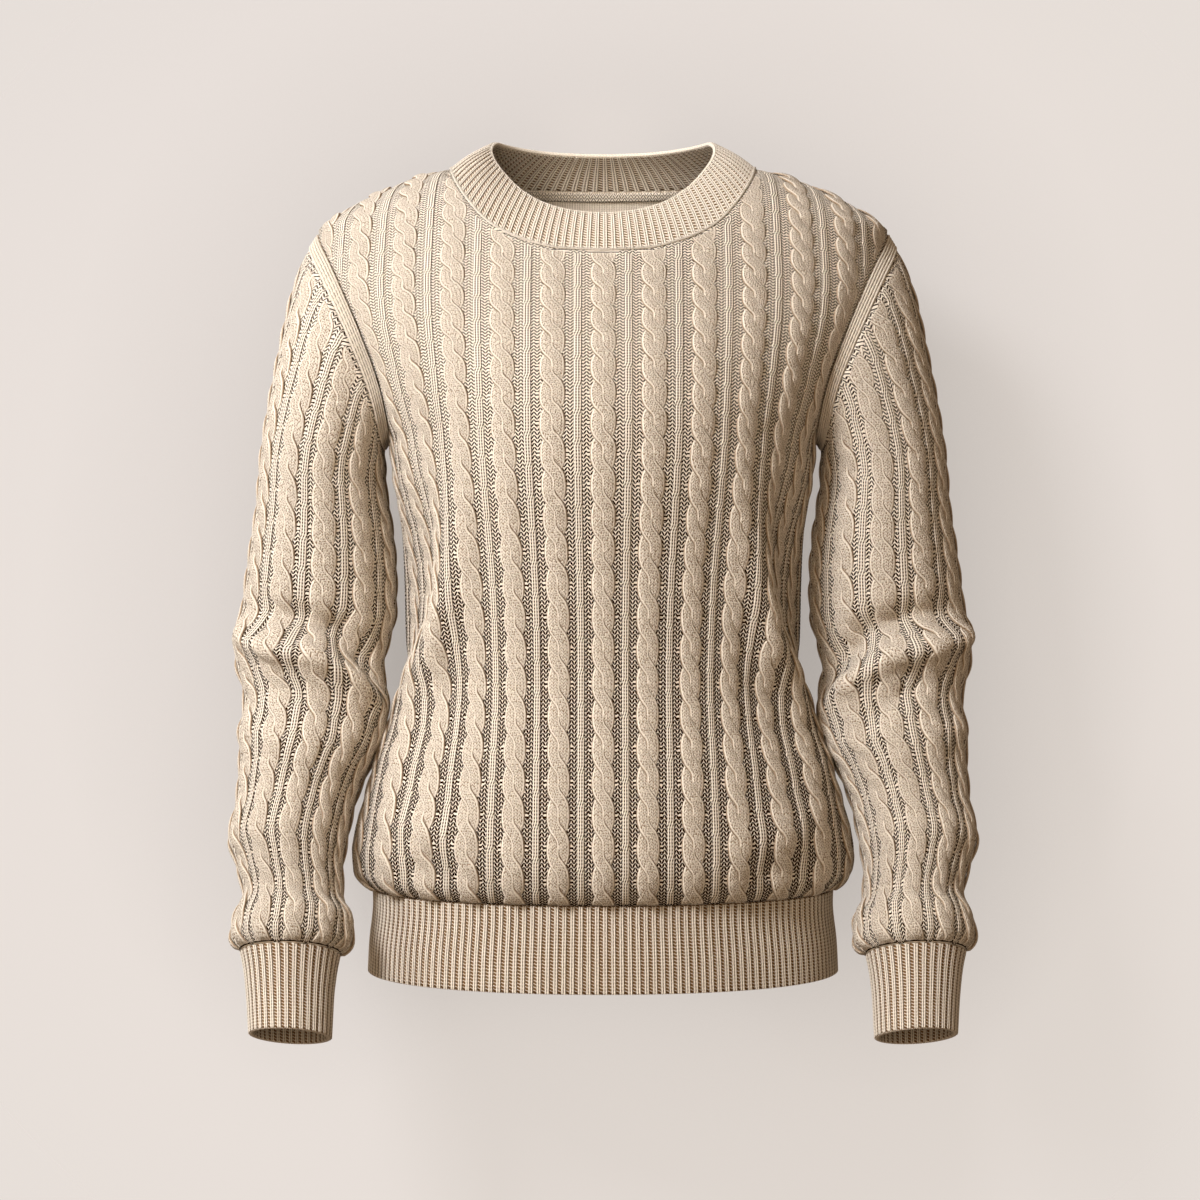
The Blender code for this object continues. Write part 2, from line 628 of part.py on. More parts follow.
def body_panel(name, panel, neck):
    way = 1 if panel.side < 0 else -1  # flat s grows to the right of someone facing the outside
    gap = np.array([0, panel.side * SEAM_GAP / 2, 0])
    loop = []

    def add(u, t, point, direction):
        loop.append(((u * FLAT_HALF, t), point + gap, direction))

    hem_count = 36
    for i in range(hem_count):
        u = -1 + 2 * i / hem_count
        point = panel.at(way * u, 0)
        add(u, 0, point, unit(np.array([point[0] / 170**2, point[1] / 108**2, 0])))
    right = []
    edge_z, edge_x, front_y, back_y = columns_of(EDGE_LINE)
    edge_y = front_y if panel.side < 0 else back_y
    for z in np.concatenate([np.linspace(HEM_Z, ARMPIT_Z, 24)[:-1], armhole_levels(), ridge_levels()]):
        low = z < ARMPIT_Z - 1e-6
        x = float(np.interp(z, panel.z, panel.end_x)) if low else float(smooth_interp(z, edge_z, edge_x))
        y = SIDE_Y if low else float(smooth_interp(z, edge_z, edge_y))
        slope = np.interp(z + 3, panel.z, panel.end_x) - np.interp(z - 3, panel.z, panel.end_x)
        if low or z > SHOULDER_Z:
            direction = unit(np.array([6.0, 0, -slope * min(1, (z - HEM_Z) / 12)]))
        else:
            direction = armhole_direction((x, y, z))
        u = 1.0 if low else float(np.interp(z, panel.z, panel.end_u))
        right.append((u, panel.length_at(u, z), np.array([x, y, z]), direction))
    for u, t, point, direction in right:
        point, direction = (point, direction) if way > 0 else (mirrored(point), mirrored(direction))
        add(u, t, point, direction)
    turn, line, places = neck.lines[panel.side]
    side_turn = math.radians(NECK_SIDE_TURN)
    for i in range(NECK_POINTS - 1, -1, -1) if way > 0 else range(NECK_POINTS):
        at = turn[i] / (math.pi / 2)
        angle = at * side_turn if panel.side < 0 else math.pi - at * (math.pi - side_turn)
        add(way * places[i][0], places[i][1], line[i], neck.direction(angle))
    for u, t, point, direction in right[:0:-1]:
        point, direction = (mirrored(point), mirrored(direction)) if way > 0 else (point, direction)
        add(-u, t, point, direction)

    armhole = armhole_line(panel.side)
    armhole_ways = np.array([armhole_direction(p) for p in armhole])
    neck_angles = np.linspace(-math.pi, math.pi, 61)
    neck_line = np.array([neck.seam(a) for a in neck_angles])
    neck_ways = np.array([neck.direction(a) for a in neck_angles])
    blend = blended_direction(
        (
            (armhole, armhole_ways),
            (mirrored(armhole), mirrored(armhole_ways)),
            (neck_line, neck_ways),
        )
    )
    centres = [k * COLUMN_PITCH for k in range(-6, 7)]
    outer, links = cable_points(centres, BODY_LENGTH)
    for k in range(-6, 6):
        for row in range(12):
            outer.append(((k + 0.5) * COLUMN_PITCH, (row + 0.5) * 2 * CROSSING_PITCH, MINI_RISE))
    inner = coarse_grid(FLAT_HALF, [12.0, 24.0, 38.0, 58.0] + list(np.arange(90.0, BODY_LENGTH, 42.0)), 27.0)
    below_neck = [(way * u * FLAT_HALF, t - 12.0) for u, t in places[3:-3]]
    inner = [p for p in inner if min(math.dist(p, q) for q in below_neck) > 16.0] + below_neck
    return shell(
        name,
        loop,
        outer,
        links,
        inner,
        lambda s, t: panel.at(way * s / FLAT_HALF, t) + gap,
        lambda s, t: panel.normal(way * s / FLAT_HALF, t),
        blend,
    )


def armhole_levels():
    """Heights of the armhole's points, armpit to shoulder tip, evenly along the edge."""
    line = armhole_line(-1)[::-1]
    run = np.concatenate([[0], np.cumsum(np.linalg.norm(np.diff(line, axis=0), axis=1))])
    return np.interp(np.linspace(0, run[-1], ARMHOLE_POINTS), run, line[:, 2])


def ridge_levels():
    return np.linspace(SHOULDER_Z, NECK_SIDE_Z, 9)[1:-1]


def sleeve_piece(name, sleeve, sign):
    radius = SLEEVE_ROUND / (2 * math.pi)
    flip = np.array([float(sign), 1.0, 1.0])

    def place(s):
        """Angle psi of flat s, which starts under the arm and grows to the right seen from outside."""
        return (math.pi - sign * s / radius) % (2 * math.pi)

    def at(s, t):
        return sleeve.at(place(s), t) * flip

    def normal(s, t):
        return sleeve.normal(place(s), t) * flip

    width = SLEEVE_ROUND
    loop = []

    def add(s, t, direction=None):
        point = at(s, t)
        loop.append(((s, t), point, direction if direction is not None else edge_way(point, normal(s, t))))

    ways = []
    lines = []
    for a in np.linspace(0, 2 * math.pi, 61)[:-1]:
        top = sleeve.at(a, sleeve.top(a) - band_width(a))
        lines.append(top * flip)
        ways.append(band_direction(sleeve, a) * flip)
    cuff_ways = []
    cuff_lines = []
    for a in np.linspace(0, 2 * math.pi, 61)[:-1]:
        cuff_lines.append(sleeve.at(a, 0) * flip)
        cuff_ways.append(cuff_direction(a) * flip)
    top_edge = (np.array(lines), np.array(ways))
    cuff_edge = (np.array(cuff_lines), np.array(cuff_ways))
    edge_way = blended_direction((top_edge, cuff_edge))

    bottom = 28
    for i in range(bottom + 1):
        s = width * i / bottom
        add(s, 0, cuff_direction(place(s)) * flip)
    seam_top = sleeve.top(math.pi) - band_width(math.pi) - 1.4 * SEAM_GAP
    side = 24
    for i in range(1, side):
        add(width, seam_top * i / side)
    cap = 30
    for i in range(cap + 1):
        s = width * (1 - i / cap)
        a = place(s)
        add(s, sleeve.top(a) - band_width(a) - 1.4 * SEAM_GAP, band_direction(sleeve, a) * flip)
    for i in range(side - 1, 0, -1):
        add(0, seam_top * i / side)
    count = len(loop)
    left = [0] + [count - i for i in range(1, side)] + [bottom + side + cap]
    right = [bottom] + [bottom + i for i in range(1, side)] + [bottom + side]
    centres = [(k + 0.5) * width / SLEEVE_COLUMNS for k in range(SLEEVE_COLUMNS)]
    outer, links = cable_points(centres, SLEEVE_LENGTH)
    for k in range(1, SLEEVE_COLUMNS):
        for row in range(14):
            outer.append((k * width / SLEEVE_COLUMNS, (row + 0.5) * 2 * CROSSING_PITCH, MINI_RISE))
    return shell(
        name,
        loop,
        outer,
        links,
        [(s + width / 2, t) for s, t in coarse_grid(width / 2, np.arange(11.0, SLEEVE_LENGTH, 24.0), 27.0)],
        at,
        normal,
        edge_way,
        list(zip(right, left)),
    )


def band_width(psi):
    """Width of the armhole band, narrower under the arm."""
    return BAND_WIDTH * (0.72 + 0.28 * math.cos(psi / 2) ** 2)


def band_direction(sleeve, psi):
    """Wall direction where the armhole band meets the sleeve."""
    own = sleeve.normal(psi, sleeve.top(psi) - band_width(psi) - 6)
    return unit(own * 0.7 + armhole_direction(armhole_point(psi)) * 0.3)


def cuff_direction(psi):
    """Wall direction where a sleeve meets its cuff: across the leaning wrist."""
    lean = math.radians(FOREARM_LEAN)
    return unit(np.array([math.cos(psi), -math.sin(psi) * math.cos(lean), math.sin(psi) * math.sin(lean)]))


def ring_band(name, low, high, way_low, way_high, ribs):
    """A ribbed tube between two rings of points, raised in its outer points over a plain inside.

    low, high, way_low and way_high take an angle; the ribs run from ring to ring.
    """
    points = []
    faces = []
    turn = 2 * math.pi / ribs
    for ring, way in ((low, way_low), (high, way_high)):
        for i in range(2 * ribs):
            a = i * turn / 2
            points.append(ring(a) + way(a) * (RIB_RISE if i % 2 else 0.0))
    inner_start = len(points)
    for ring, way in ((low, way_low), (high, way_high)):
        for i in range(ribs):
            a = i * turn
            points.append(ring(a) - way(a) * WALL)
    n = 2 * ribs
    for i in range(n):
        j = (i + 1) % n
        faces.append([i, j, n + j])
        faces.append([i, n + j, n + i])
    for i in range(ribs):
        j = (i + 1) % ribs
        a, b = inner_start + i, inner_start + j
        c, d = inner_start + ribs + i, inner_start + ribs + j
        faces.append([b, a, c])
        faces.append([b, c, d])
        outer_a, outer_m, outer_b = 2 * i, 2 * i + 1, (2 * i + 2) % n
        faces += [[outer_m, outer_a, a], [outer_m, a, b], [outer_b, outer_m, b]]
        outer_a, outer_m, outer_b = n + outer_a, n + outer_m, n + outer_b
        faces += [[outer_a, outer_m, c], [outer_m, d, c], [outer_m, outer_b, d]]
    return make_mesh(name, points, faces)


def tube(name, outer_rows, inner_rows):
    """A closed wall between rings of points: outer rows from low to high, inner rows from low to high."""
    n = len(outer_rows[0])
    points = [p for row in outer_rows + inner_rows for p in row]
    faces = []

    def strip(first, second):
        for i in range(n):
            j = (i + 1) % n
            faces.append([first + i, first + j, second + j])
            faces.append([first + i, second + j, second + i])

    outer_top = (len(outer_rows) - 1) * n
    inner_low = len(outer_rows) * n
    inner_top = inner_low + (len(inner_rows) - 1) * n
    for row in range(len(outer_rows) - 1):
        strip(row * n, (row + 1) * n)
    for row in range(len(inner_rows) - 1):
        strip(inner_low + (row + 1) * n, inner_low + row * n)
    strip(outer_top, inner_top)
    strip(inner_low, 0)
    return make_mesh(name, points, faces)


def armhole_band(name, sleeve, sign):
    """Strip with ridges along it, from the panel edges to the sleeve."""
    flip = np.array([float(sign), 1.0, 1.0])
    rows = 2 * BAND_RIDGES + 1
    outer = []
    inner = []
    for row in range(rows):
        ring = []
        inside_ring = []
        for i in range(BAND_AROUND):
            psi = -sign * 2 * math.pi * i / BAND_AROUND
            psi %= 2 * math.pi
            width = band_width(psi)
            down = SEAM_GAP + (width - SEAM_GAP) * row / (rows - 1)
            point = sleeve.at(psi, sleeve.top(psi) - down)
            share = row / (rows - 1)
            body_way = armhole_direction(armhole_point(psi))
            way = unit(body_way * (1 - share) + band_direction(sleeve, psi) * share)
            rise = BAND_RISE * (0.5 + 0.5 * math.cos(psi / 2) ** 2) if row % 2 else 0.0
            ring.append((point + way * rise) * flip)
            inside_ring.append((point - way * WALL) * flip)
        outer.append(ring)
        if row in (0, rows - 1):
            inner.append(inside_ring)
    return tube(name, outer[::-1], inner[::-1])


def cuff(name, sleeve, sign):
    wrist = Sleeve(CUFF_RINGS, lean_all=True)
    flip = np.array([float(sign), 1.0, 1.0])

    def ring(level):
        def point(angle):
            psi = (-sign * angle) % (2 * math.pi)
            t = wrist.top(psi) * level
            if level < 1:
                return wrist.at(psi, 0) * flip
            seam = sleeve.at(psi, 0)
            own = unit(wrist.at(psi, t - 6) - seam)
            return (seam + own * SEAM_GAP) * flip

        return point

    def way(angle):
        return cuff_direction((-sign * angle) % (2 * math.pi)) * flip

    return ring_band(name, ring(0), ring(1), way, way, CUFF_RIBS)


def hem_ring(level):
    z, half, front, back = columns_of(HEM_SECTIONS)
    a, f, b = (float(smooth_interp(level, z[::-1], v[::-1])) for v in (half, front, back))

    def point(angle):
        depth = f if math.cos(angle) > 0 else b
        power = 2 / SECTION_POWER
        reach = depth + SIDE_Y if math.cos(angle) > 0 else depth - SIDE_Y
        x = a * math.copysign(abs(math.sin(angle)) ** power, math.sin(angle))
        y = SIDE_Y - reach * math.copysign(abs(math.cos(angle)) ** power, math.cos(angle))
        return np.array([x, y, level])

    return point


def even_ring(point):
    """The same ring of points, taken evenly along its length."""
    turns = np.linspace(0, 2 * math.pi, 721)
    places = np.array([point(a) for a in turns])
    run = np.concatenate([[0], np.cumsum(np.linalg.norm(np.diff(places, axis=0), axis=1))])

    def even(angle):
        at = (angle % (2 * math.pi)) / (2 * math.pi) * run[-1]
        return np.array([np.interp(at, run, places[:, k]) for k in range(3)])

    return even


def hem_band():
    low = even_ring(hem_ring(HEM_SECTIONS[-1][0]))
    high = even_ring(hem_ring(HEM_Z))

    def way(angle):
        along = low(angle + 0.03) - low(angle - 0.03)
        return unit(np.array([along[1], -along[0], 0.0]))

    return ring_band("hem_band", low, lambda a: high(a) - np.array([0, 0, SEAM_GAP]), way, way, HEM_RIBS)


def neckband(neck):
    def low(angle):
        seam = neck.seam(angle)
        return seam + unit(neck.rim(angle) - seam) * SEAM_GAP

    def rim_way(angle):
        along = neck.rim(angle + 0.03) - neck.rim(angle - 0.03)
        return unit(np.cross(along, neck.rim(angle) - neck.seam(angle)))

    return ring_band("neckband", low, neck.rim, neck.direction, rim_way, NECK_RIBS)


def neck_tape(panel, neck):
    """Narrow tape over the inside of the back neck seam, made from the panel's points, moved in."""
    turn, _, places = neck.lines[1]
    gap = np.array([0, SEAM_GAP / 2, 0])
    sheets = []
    for depth in (WALL + 1.5 * SEAM_GAP, WALL + 1.5 * SEAM_GAP + TAPE_THICKNESS):
        for down in (1.5, 1.5 + TAPE_WIDTH):
            row = []
            for i in range(5, len(turn) - 5, 2):
                u, t = places[i]
                side_turn = math.radians(NECK_SIDE_TURN)
                angle = math.pi - turn[i] / (math.pi / 2) * (math.pi - side_turn)
                weight = math.exp(-((down / BLEND_REACH) ** 2))
                way = unit(panel.normal(u, t - 6) * (1 - weight) + neck.direction(angle) * weight)
                row.append(panel.at(u, t - down) + gap - way * depth)
            sheets.append(row)
    near_top, near_low, far_top, far_low = sheets
    n = len(near_top)
    loops = [near_top, far_top, far_low, near_low]
    points = [p for row in loops for p in row]
    faces = []
    for k in range(4):
        a, b = k * n, ((k + 1) % 4) * n
        for i in range(n - 1):
            faces.append([a + i, b + i, b + i + 1])
            faces.append([a + i, b + i + 1, a + i + 1])
    for end, order in ((0, (0, 1, 2, 3)), (n - 1, (3, 2, 1, 0))):
        corners = [k * n + end for k in order]
        faces.append([corners[0], corners[2], corners[1]])
        faces.append([corners[0], corners[3], corners[2]])
    return make_mesh("neck_tape", points, faces)


def main():
    for obj in list(bpy.data.objects):
        bpy.data.objects.remove(obj, do_unlink=True)
    front = Panel(-1)
    back = Panel(1)
    neck = Neck(front, back)
    sleeve = Sleeve(SLEEVE_RINGS)
    body_panel("front_panel", front, neck)
    body_panel("back_panel", back, neck)
    for side, sign in (("right", -1), ("left", 1)):
        sleeve_piece("sleeve_" + side, sleeve, sign)
        armhole_band("armhole_band_" + side, sleeve, sign)
        cuff("cuff_" + side, sleeve, sign)
    hem_band()
    neckband(neck)
    neck_tape(back, neck)


main()
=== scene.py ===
"""A cable knit crew-neck sweater, worn and hollow: knitted panels wrapped on its form, sewn edge to edge.

X runs across the chest, -Y is the front and Z is up, in metres. Lengths in the tables are millimetres.
Each knitted piece is first laid flat, s across and t up its columns, then wrapped on its form.
"""

import math

import bmesh
import bpy
import numpy as np
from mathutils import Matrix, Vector


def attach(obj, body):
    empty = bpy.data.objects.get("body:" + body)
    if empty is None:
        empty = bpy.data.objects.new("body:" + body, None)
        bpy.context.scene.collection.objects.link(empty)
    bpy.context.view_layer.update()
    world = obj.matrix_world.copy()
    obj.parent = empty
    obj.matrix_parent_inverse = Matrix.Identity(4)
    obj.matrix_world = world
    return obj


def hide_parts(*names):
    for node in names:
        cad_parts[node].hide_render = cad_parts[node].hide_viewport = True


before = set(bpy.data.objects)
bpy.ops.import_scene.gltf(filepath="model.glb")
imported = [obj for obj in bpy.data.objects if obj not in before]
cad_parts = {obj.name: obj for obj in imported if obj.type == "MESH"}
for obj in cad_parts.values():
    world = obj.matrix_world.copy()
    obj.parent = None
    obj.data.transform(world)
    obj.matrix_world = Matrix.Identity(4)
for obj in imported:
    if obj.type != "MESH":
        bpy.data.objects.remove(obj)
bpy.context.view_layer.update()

# Wall, seams and relief
WALL = 2.4
SEAM_GAP = 0.3
COLUMN_PITCH = 35.4
BODY_COLUMNS = 6.8  # column pitches from the centre to a side seam
SLEEVE_COLUMNS = 11
CROSSING_PITCH = 23.0
FLAT_HALF = COLUMN_PITCH * BODY_COLUMNS
SLEEVE_ROUND = 330.0
HEM_RIBS = 158
CUFF_RIBS = 36
NECK_RIBS = 100
RIB_PITCH = 5.8
HEM_TALL = 61.0
CUFF_TALL = 62.0
NECK_TALL = 36.0
BAND_WIDTH = 13.0
ARMHOLE_ROUND = 400.0
TAPE_WIDTH = 7.0
SEAM_SINK = 0.4
FLAT_FROM = (330.0, 420.0)  # up the body, the knit flattens over this stretch

# Heights of the main seams
HEM_Z = -512.0
ARMPIT_Z = -182.0
SHOULDER_Z = -28.0
NECK_SIDE_Z = 18.5
SECTION_POWER = 2.15
SIDE_Y = 4.0
SHOULDER_Y = 6.0

# Level sections of the body: height, half width, front depth, back depth, centre spacing of the columns
BODY_SECTIONS = (
    # z, half_width, front, back, centre_spacing
    (-512, 169.5, 112, 101, 30.8),
    (-506, 177.5, 119, 107, 30.8),
    (-497, 184, 124, 111, 30.8),
    (-485, 184.5, 127, 113, 30.8),
    (-470, 182.5, 127, 112, 30.8),
    (-448, 176, 125, 108, 30.8),
    (-418, 165, 119, 101, 30.8),
    (-389, 150, 113, 94, 30.8),
    (-359, 142.5, 108, 89, 30.8),
    (-330, 146, 106, 87, 31.0),
    (-290, 147, 108, 88, 31.8),
    (-256, 148.5, 112, 92, 33.0),
    (-211, 154, 118, 99, 34.6),
    (-182, 156.5, 119, 103, 35.4),
    (-140, 166, 114, 106, 35.4),
    (-100, 180, 103, 105, 35.4),
    (-54, 200, 88, 96, 35.4),
    (-20, 205, 74, 80, 35.4),
    (0, 178, 61, 72, 35.4),
    (18.5, 120, 42, 60, 35.4),
)

# Armhole edge from the armpit up to the shoulder tip, then the shoulder seam in to the neck
EDGE_LINE = (
    # z, x, front_y, back_y
    (-182, 156.5, 4, 4),
    (-180, 156.5, -10, 18),
    (-174, 156.5, -26, 33),
    (-163, 157.5, -39, 46),
    (-145, 161, -48, 55),
    (-108, 174, -52, 59),
    (-78, 187, -45, 52),
    (-55, 198, -31, 40),
    (-38, 207, -14, 25),
    (-30, 210.5, -1, 13),
    (-28, 211, 6, 6),
    (-22, 204.5, 6, 6),
    (-7.5, 181, 6, 6),
    (8, 147, 6, 6),
    (18.5, 112, 6, 6),
)

# Neck seam on each panel as heights by distance from the centre, and the rim as an oval seen from above
NECK_SIDE_X = 112.0
FRONT_NECK = (
    # x, z
    (0, -54),
    (30, -52.5),
    (55, -46),
    (76, -36),
    (86, -27.5),
    (96, -15),
    (103, -4),
    (109, 8.5),
    (112, 18.5),
)
BACK_NECK = ((0, 14), (50, 14.5), (85, 16), (105, 17.5), (112, 18.5))
NECK_RIM_HALF = (82.5, 50.0)
NECK_RIM_MID_Y = -17.0
NECK_RIM_Z = ((-67, -24.5), (-63, -20), (-59, -15), (-52, -5.5), (-38, 12.7), (-17, 31), (0, 38), (33, 35.5))
NECK_SIDE_TURN = 104.0  # degrees round from the front to the shoulder seam

# Hem band sections: height, half width, front depth, back depth
HEM_SECTIONS = (
    # z, half_width, front, back
    (-512, 169.5, 112, 101),
    (-522, 169, 112.5, 102),
    (-552, 172, 114.5, 104),
    (-573, 173, 115.5, 105),
)

# Sleeve rings, as the ends of each ring's diameter seen from the front, its middle depth and its half depth
SLEEVE_RINGS = (
    # outer_x, outer_z, inner_x, inner_z, mid_y, half_depth
    (211, -28, 156.5, -182, 6, 55),
    (222.5, -49, 161.5, -187, 6, 57),
    (231.5, -80, 163, -193.5, 6, 58),
    (239.5, -118, 162.5, -200, 6, 58),
    (247.5, -160, 163, -207, 6, 58),
    (253, -198, 162.5, -216, 6, 57),
    (255.5, -230, 160, -232, 6, 57),
    (259.5, -256, 156.5, -256, 6, 57),
    (263.5, -285, 154.5, -286, 5.5, 56.5),
    (266, -306, 154.5, -308, 4, 56),
    (270.5, -330, 160, -332, 0, 55),
    (269.5, -346, 163, -348, -4, 53.5),
    (262.5, -372, 159, -376, -10, 52),
    (263.5, -402, 163, -405, -19, 51),
    (263.5, -418, 170.5, -419, -25, 48),
    (264, -444, 181.5, -447, -34, 44),
    (268.5, -472, 186.5, -475, -45, 43),
    (262.5, -489, 188.5, -491, -51, 39.5),
    (256, -513, 186.5, -515, -59, 37.5),
    (262, -527, 179, -529, -65, 42.5),
    (263.5, -540, 179, -542, -70, 43),
    (256.5, -550, 187, -551, -73.5, 37),
)
CUFF_RINGS = (
    # outer_x, outer_z, inner_x, inner_z, mid_y, half_depth
    (256, -551, 187.5, -552, -74, 36),
    (253.5, -560, 189, -562, -78, 34),
    (250, -581, 190.5, -583, -86, 32.5),
    (247, -604, 190.5, -606, -97, 31.5),
)
FOREARM_LEAN = 20.5  # degrees forward, reached in LEAN_RUN below the elbow
ELBOW_Z = -330.0
LEAN_RUN = 150.0

# Soft folds: a ridge (or trough, where rise is negative) along points in x and z, seen from the front
BODY_FOLDS = (
    # rise, half_width, ((x, z), ...)
    (12.0, 13, ((105, -232), (106, -266), (109, -300), (121, -337), (136, -372), (150, -405), (160, -440))),
    (-12.0, 15, ((134, -205), (134, -262), (137, -310), (150, -350))),
    (-3.5, 10, ((150, -495), (120, -488), (92, -496))),
    (3.5, 14, ((160, -450), (128, -462), (88, -470))),
)
SLEEVE_FOLDS = (
    # rise, half_width, ((angle_degrees, z), ...), the angle from the outside of the arm round by the front
    (12.0, 9, ((10, -322), (50, -331), (100, -340), (140, -365), (165, -386))),
    (-12.0, 10, ((40, -305), (80, -312), (115, -322), (140, -341), (160, -360))),
    (-5.0, 9, ((60, -358), (95, -370), (130, -396))),
    (3.0, 9, ((-20, -400), (40, -392), (100, -410))),
    (3.0, 9, ((200, -330), (260, -322), (320, -316))),
    (-3.0, 10, ((200, -352), (260, -345), (330, -338))),
)

# Height of a knitted row by height up the body: the rows lie closer together towards the neck
ROW_SHARES = ((0, 1.0), (290, 1.0), (390, 0.8), (440, 0.73), (640, 0.73))


def columns_of(table):
    return np.array(table, float).T


def smooth_interp(x, xs, ys):
    """Value at x on a curve through the points that doesn't overshoot them (monotone cubic)."""
    x = np.clip(np.asarray(x, float), xs[0], xs[-1])
    step = np.diff(xs)
    slope = np.diff(ys) / step
    tangent = np.zeros(len(xs))
    tangent[0] = slope[0]
    tangent[-1] = slope[-1]
    same_way = slope[:-1] * slope[1:] > 0
    harmonic = 2 * slope[:-1] * slope[1:] / np.where(same_way, slope[:-1] + slope[1:], 1)
    tangent[1:-1] = np.where(same_way, harmonic, 0)
    i = np.clip(np.searchsorted(xs, x, side="right") - 1, 0, len(xs) - 2)
    h = step[i]
    t = (x - xs[i]) / h
    ends = (2 * t**3 - 3 * t**2 + 1) * ys[i] + (3 * t**2 - 2 * t**3) * ys[i + 1]
    return ends + (t**3 - 2 * t**2 + t) * h * tangent[i] + (t**3 - t**2) * h * tangent[i + 1]


def knit_rows():
    """Heights up the panel, and the length of knit below each."""
    height, share = columns_of(ROW_SHARES)
    t = np.linspace(0, height[-1], 321)
    rows = 1 / np.interp(t, height, share)
    return t, np.concatenate([[0], np.cumsum((rows[1:] + rows[:-1]) / 2 * np.diff(t))])


def unit(v):
    v = np.asarray(v, float)
    return v / np.maximum(np.linalg.norm(v, axis=-1, keepdims=True), 1e-9)


def run_length(points):
    """Length along each line of points, from 0, down the first axis."""
    steps = np.linalg.norm(np.diff(points, axis=0), axis=-1)
    return np.concatenate([0 * steps[:1], np.cumsum(steps, axis=0)])


def at_run(points, run, at):
    """Places at these lengths of run along a line of points."""
    return np.stack([np.interp(at, run, points[:, k]) for k in range(3)], -1)


def blend(grid, i, j):
    """Values of a grid at rows i and columns j, which may lie between its own."""
    i, j = np.clip(i, 0, grid.shape[0] - 1.001), np.clip(j, 0, grid.shape[1] - 1.001)
    i0, j0 = i.astype(int), j.astype(int)
    a, b = i - i0, j - j0
    if grid.ndim == 3:
        a, b = a[..., None], b[..., None]
    low = grid[i0, j0] * (1 - b) + grid[i0, j0 + 1] * b
    high = grid[i0 + 1, j0] * (1 - b) + grid[i0 + 1, j0 + 1] * b
    return low * (1 - a) + high * a


def smooth_step(x):
    x = np.clip(x, 0, 1)
    return x * x * (3 - 2 * x)


def fold_height(x, z, folds):
    """Sum of the soft ridges, each fading at its ends."""
    total = np.zeros(np.broadcast(x, z).shape)
    for rise, half_width, path in folds:
        path = np.array(path, float)
        before = run_length(path)
        best = np.full(total.shape, 1e9)
        along = np.zeros(total.shape)
        for a, b, start in zip(path[:-1], path[1:], before[:-1]):
            way = b - a
            length = np.hypot(*way)
            part = np.clip(((x - a[0]) * way[0] + (z - a[1]) * way[1]) / length**2, 0, 1)
            away = np.hypot(x - a[0] - part * way[0], z - a[1] - part * way[1])
            nearer = away < best
            best = np.where(nearer, away, best)
            along = np.where(nearer, start + part * length, along)
        taper = np.sin(np.pi * np.clip(0.06 + 0.88 * along / before[-1], 0, 1))
        total = total + rise * taper * np.exp(-((best / half_width) ** 2))
    return total


class Form:
    """A curved surface by flat place: s to the right seen from outside, t up the columns, h out from it."""

    def __init__(self, s, t, points, closed=False):
        self.s, self.t, self.points, self.closed = s, t, points, closed
        across = np.gradient(points, axis=0)
        if closed:
            across[0] = across[-1] = (points[1] - points[-2]) / 2
        up = np.gradient(points, axis=1)
        turned = np.cross(across, up)
        size = np.linalg.norm(turned, axis=2)
        sure = size > 0.02 * np.median(size)
        normals = np.where(sure[..., None], turned / np.maximum(size, 1e-9)[..., None], 0)
        # past its outline the surface has no direction of its own and takes its neighbours'
        for _ in range(90):
            if sure.all():
                break
            wide = np.pad(normals, ((1, 1), (1, 1), (0, 0)))
            total = wide[:-2, 1:-1] + wide[2:, 1:-1] + wide[1:-1, :-2] + wide[1:-1, 2:]
            found = ~sure & (np.linalg.norm(total, axis=2) > 1e-6)
            normals[found] = unit(total[found])
            sure = sure | found
        self.normals = normals

    def place(self, s, t, h):
        if self.closed:
            s = self.s[0] + (s - self.s[0]) % (self.s[-1] - self.s[0])
        i = (s - self.s[0]) / (self.s[1] - self.s[0])
        j = (t - self.t[0]) / (self.t[1] - self.t[0])
        return blend(self.points, i, j) + unit(blend(self.normals, i, j)) * np.asarray(h)[..., None]


def even_columns(t, points, step=2.0):
    """Columns of points by their own lengths t, taken again at the same even lengths."""
    lengths = np.arange(0, t.max() + step, step)
    return lengths, np.stack([at_run(points[:, j], t[:, j], lengths) for j in range(t.shape[1])])


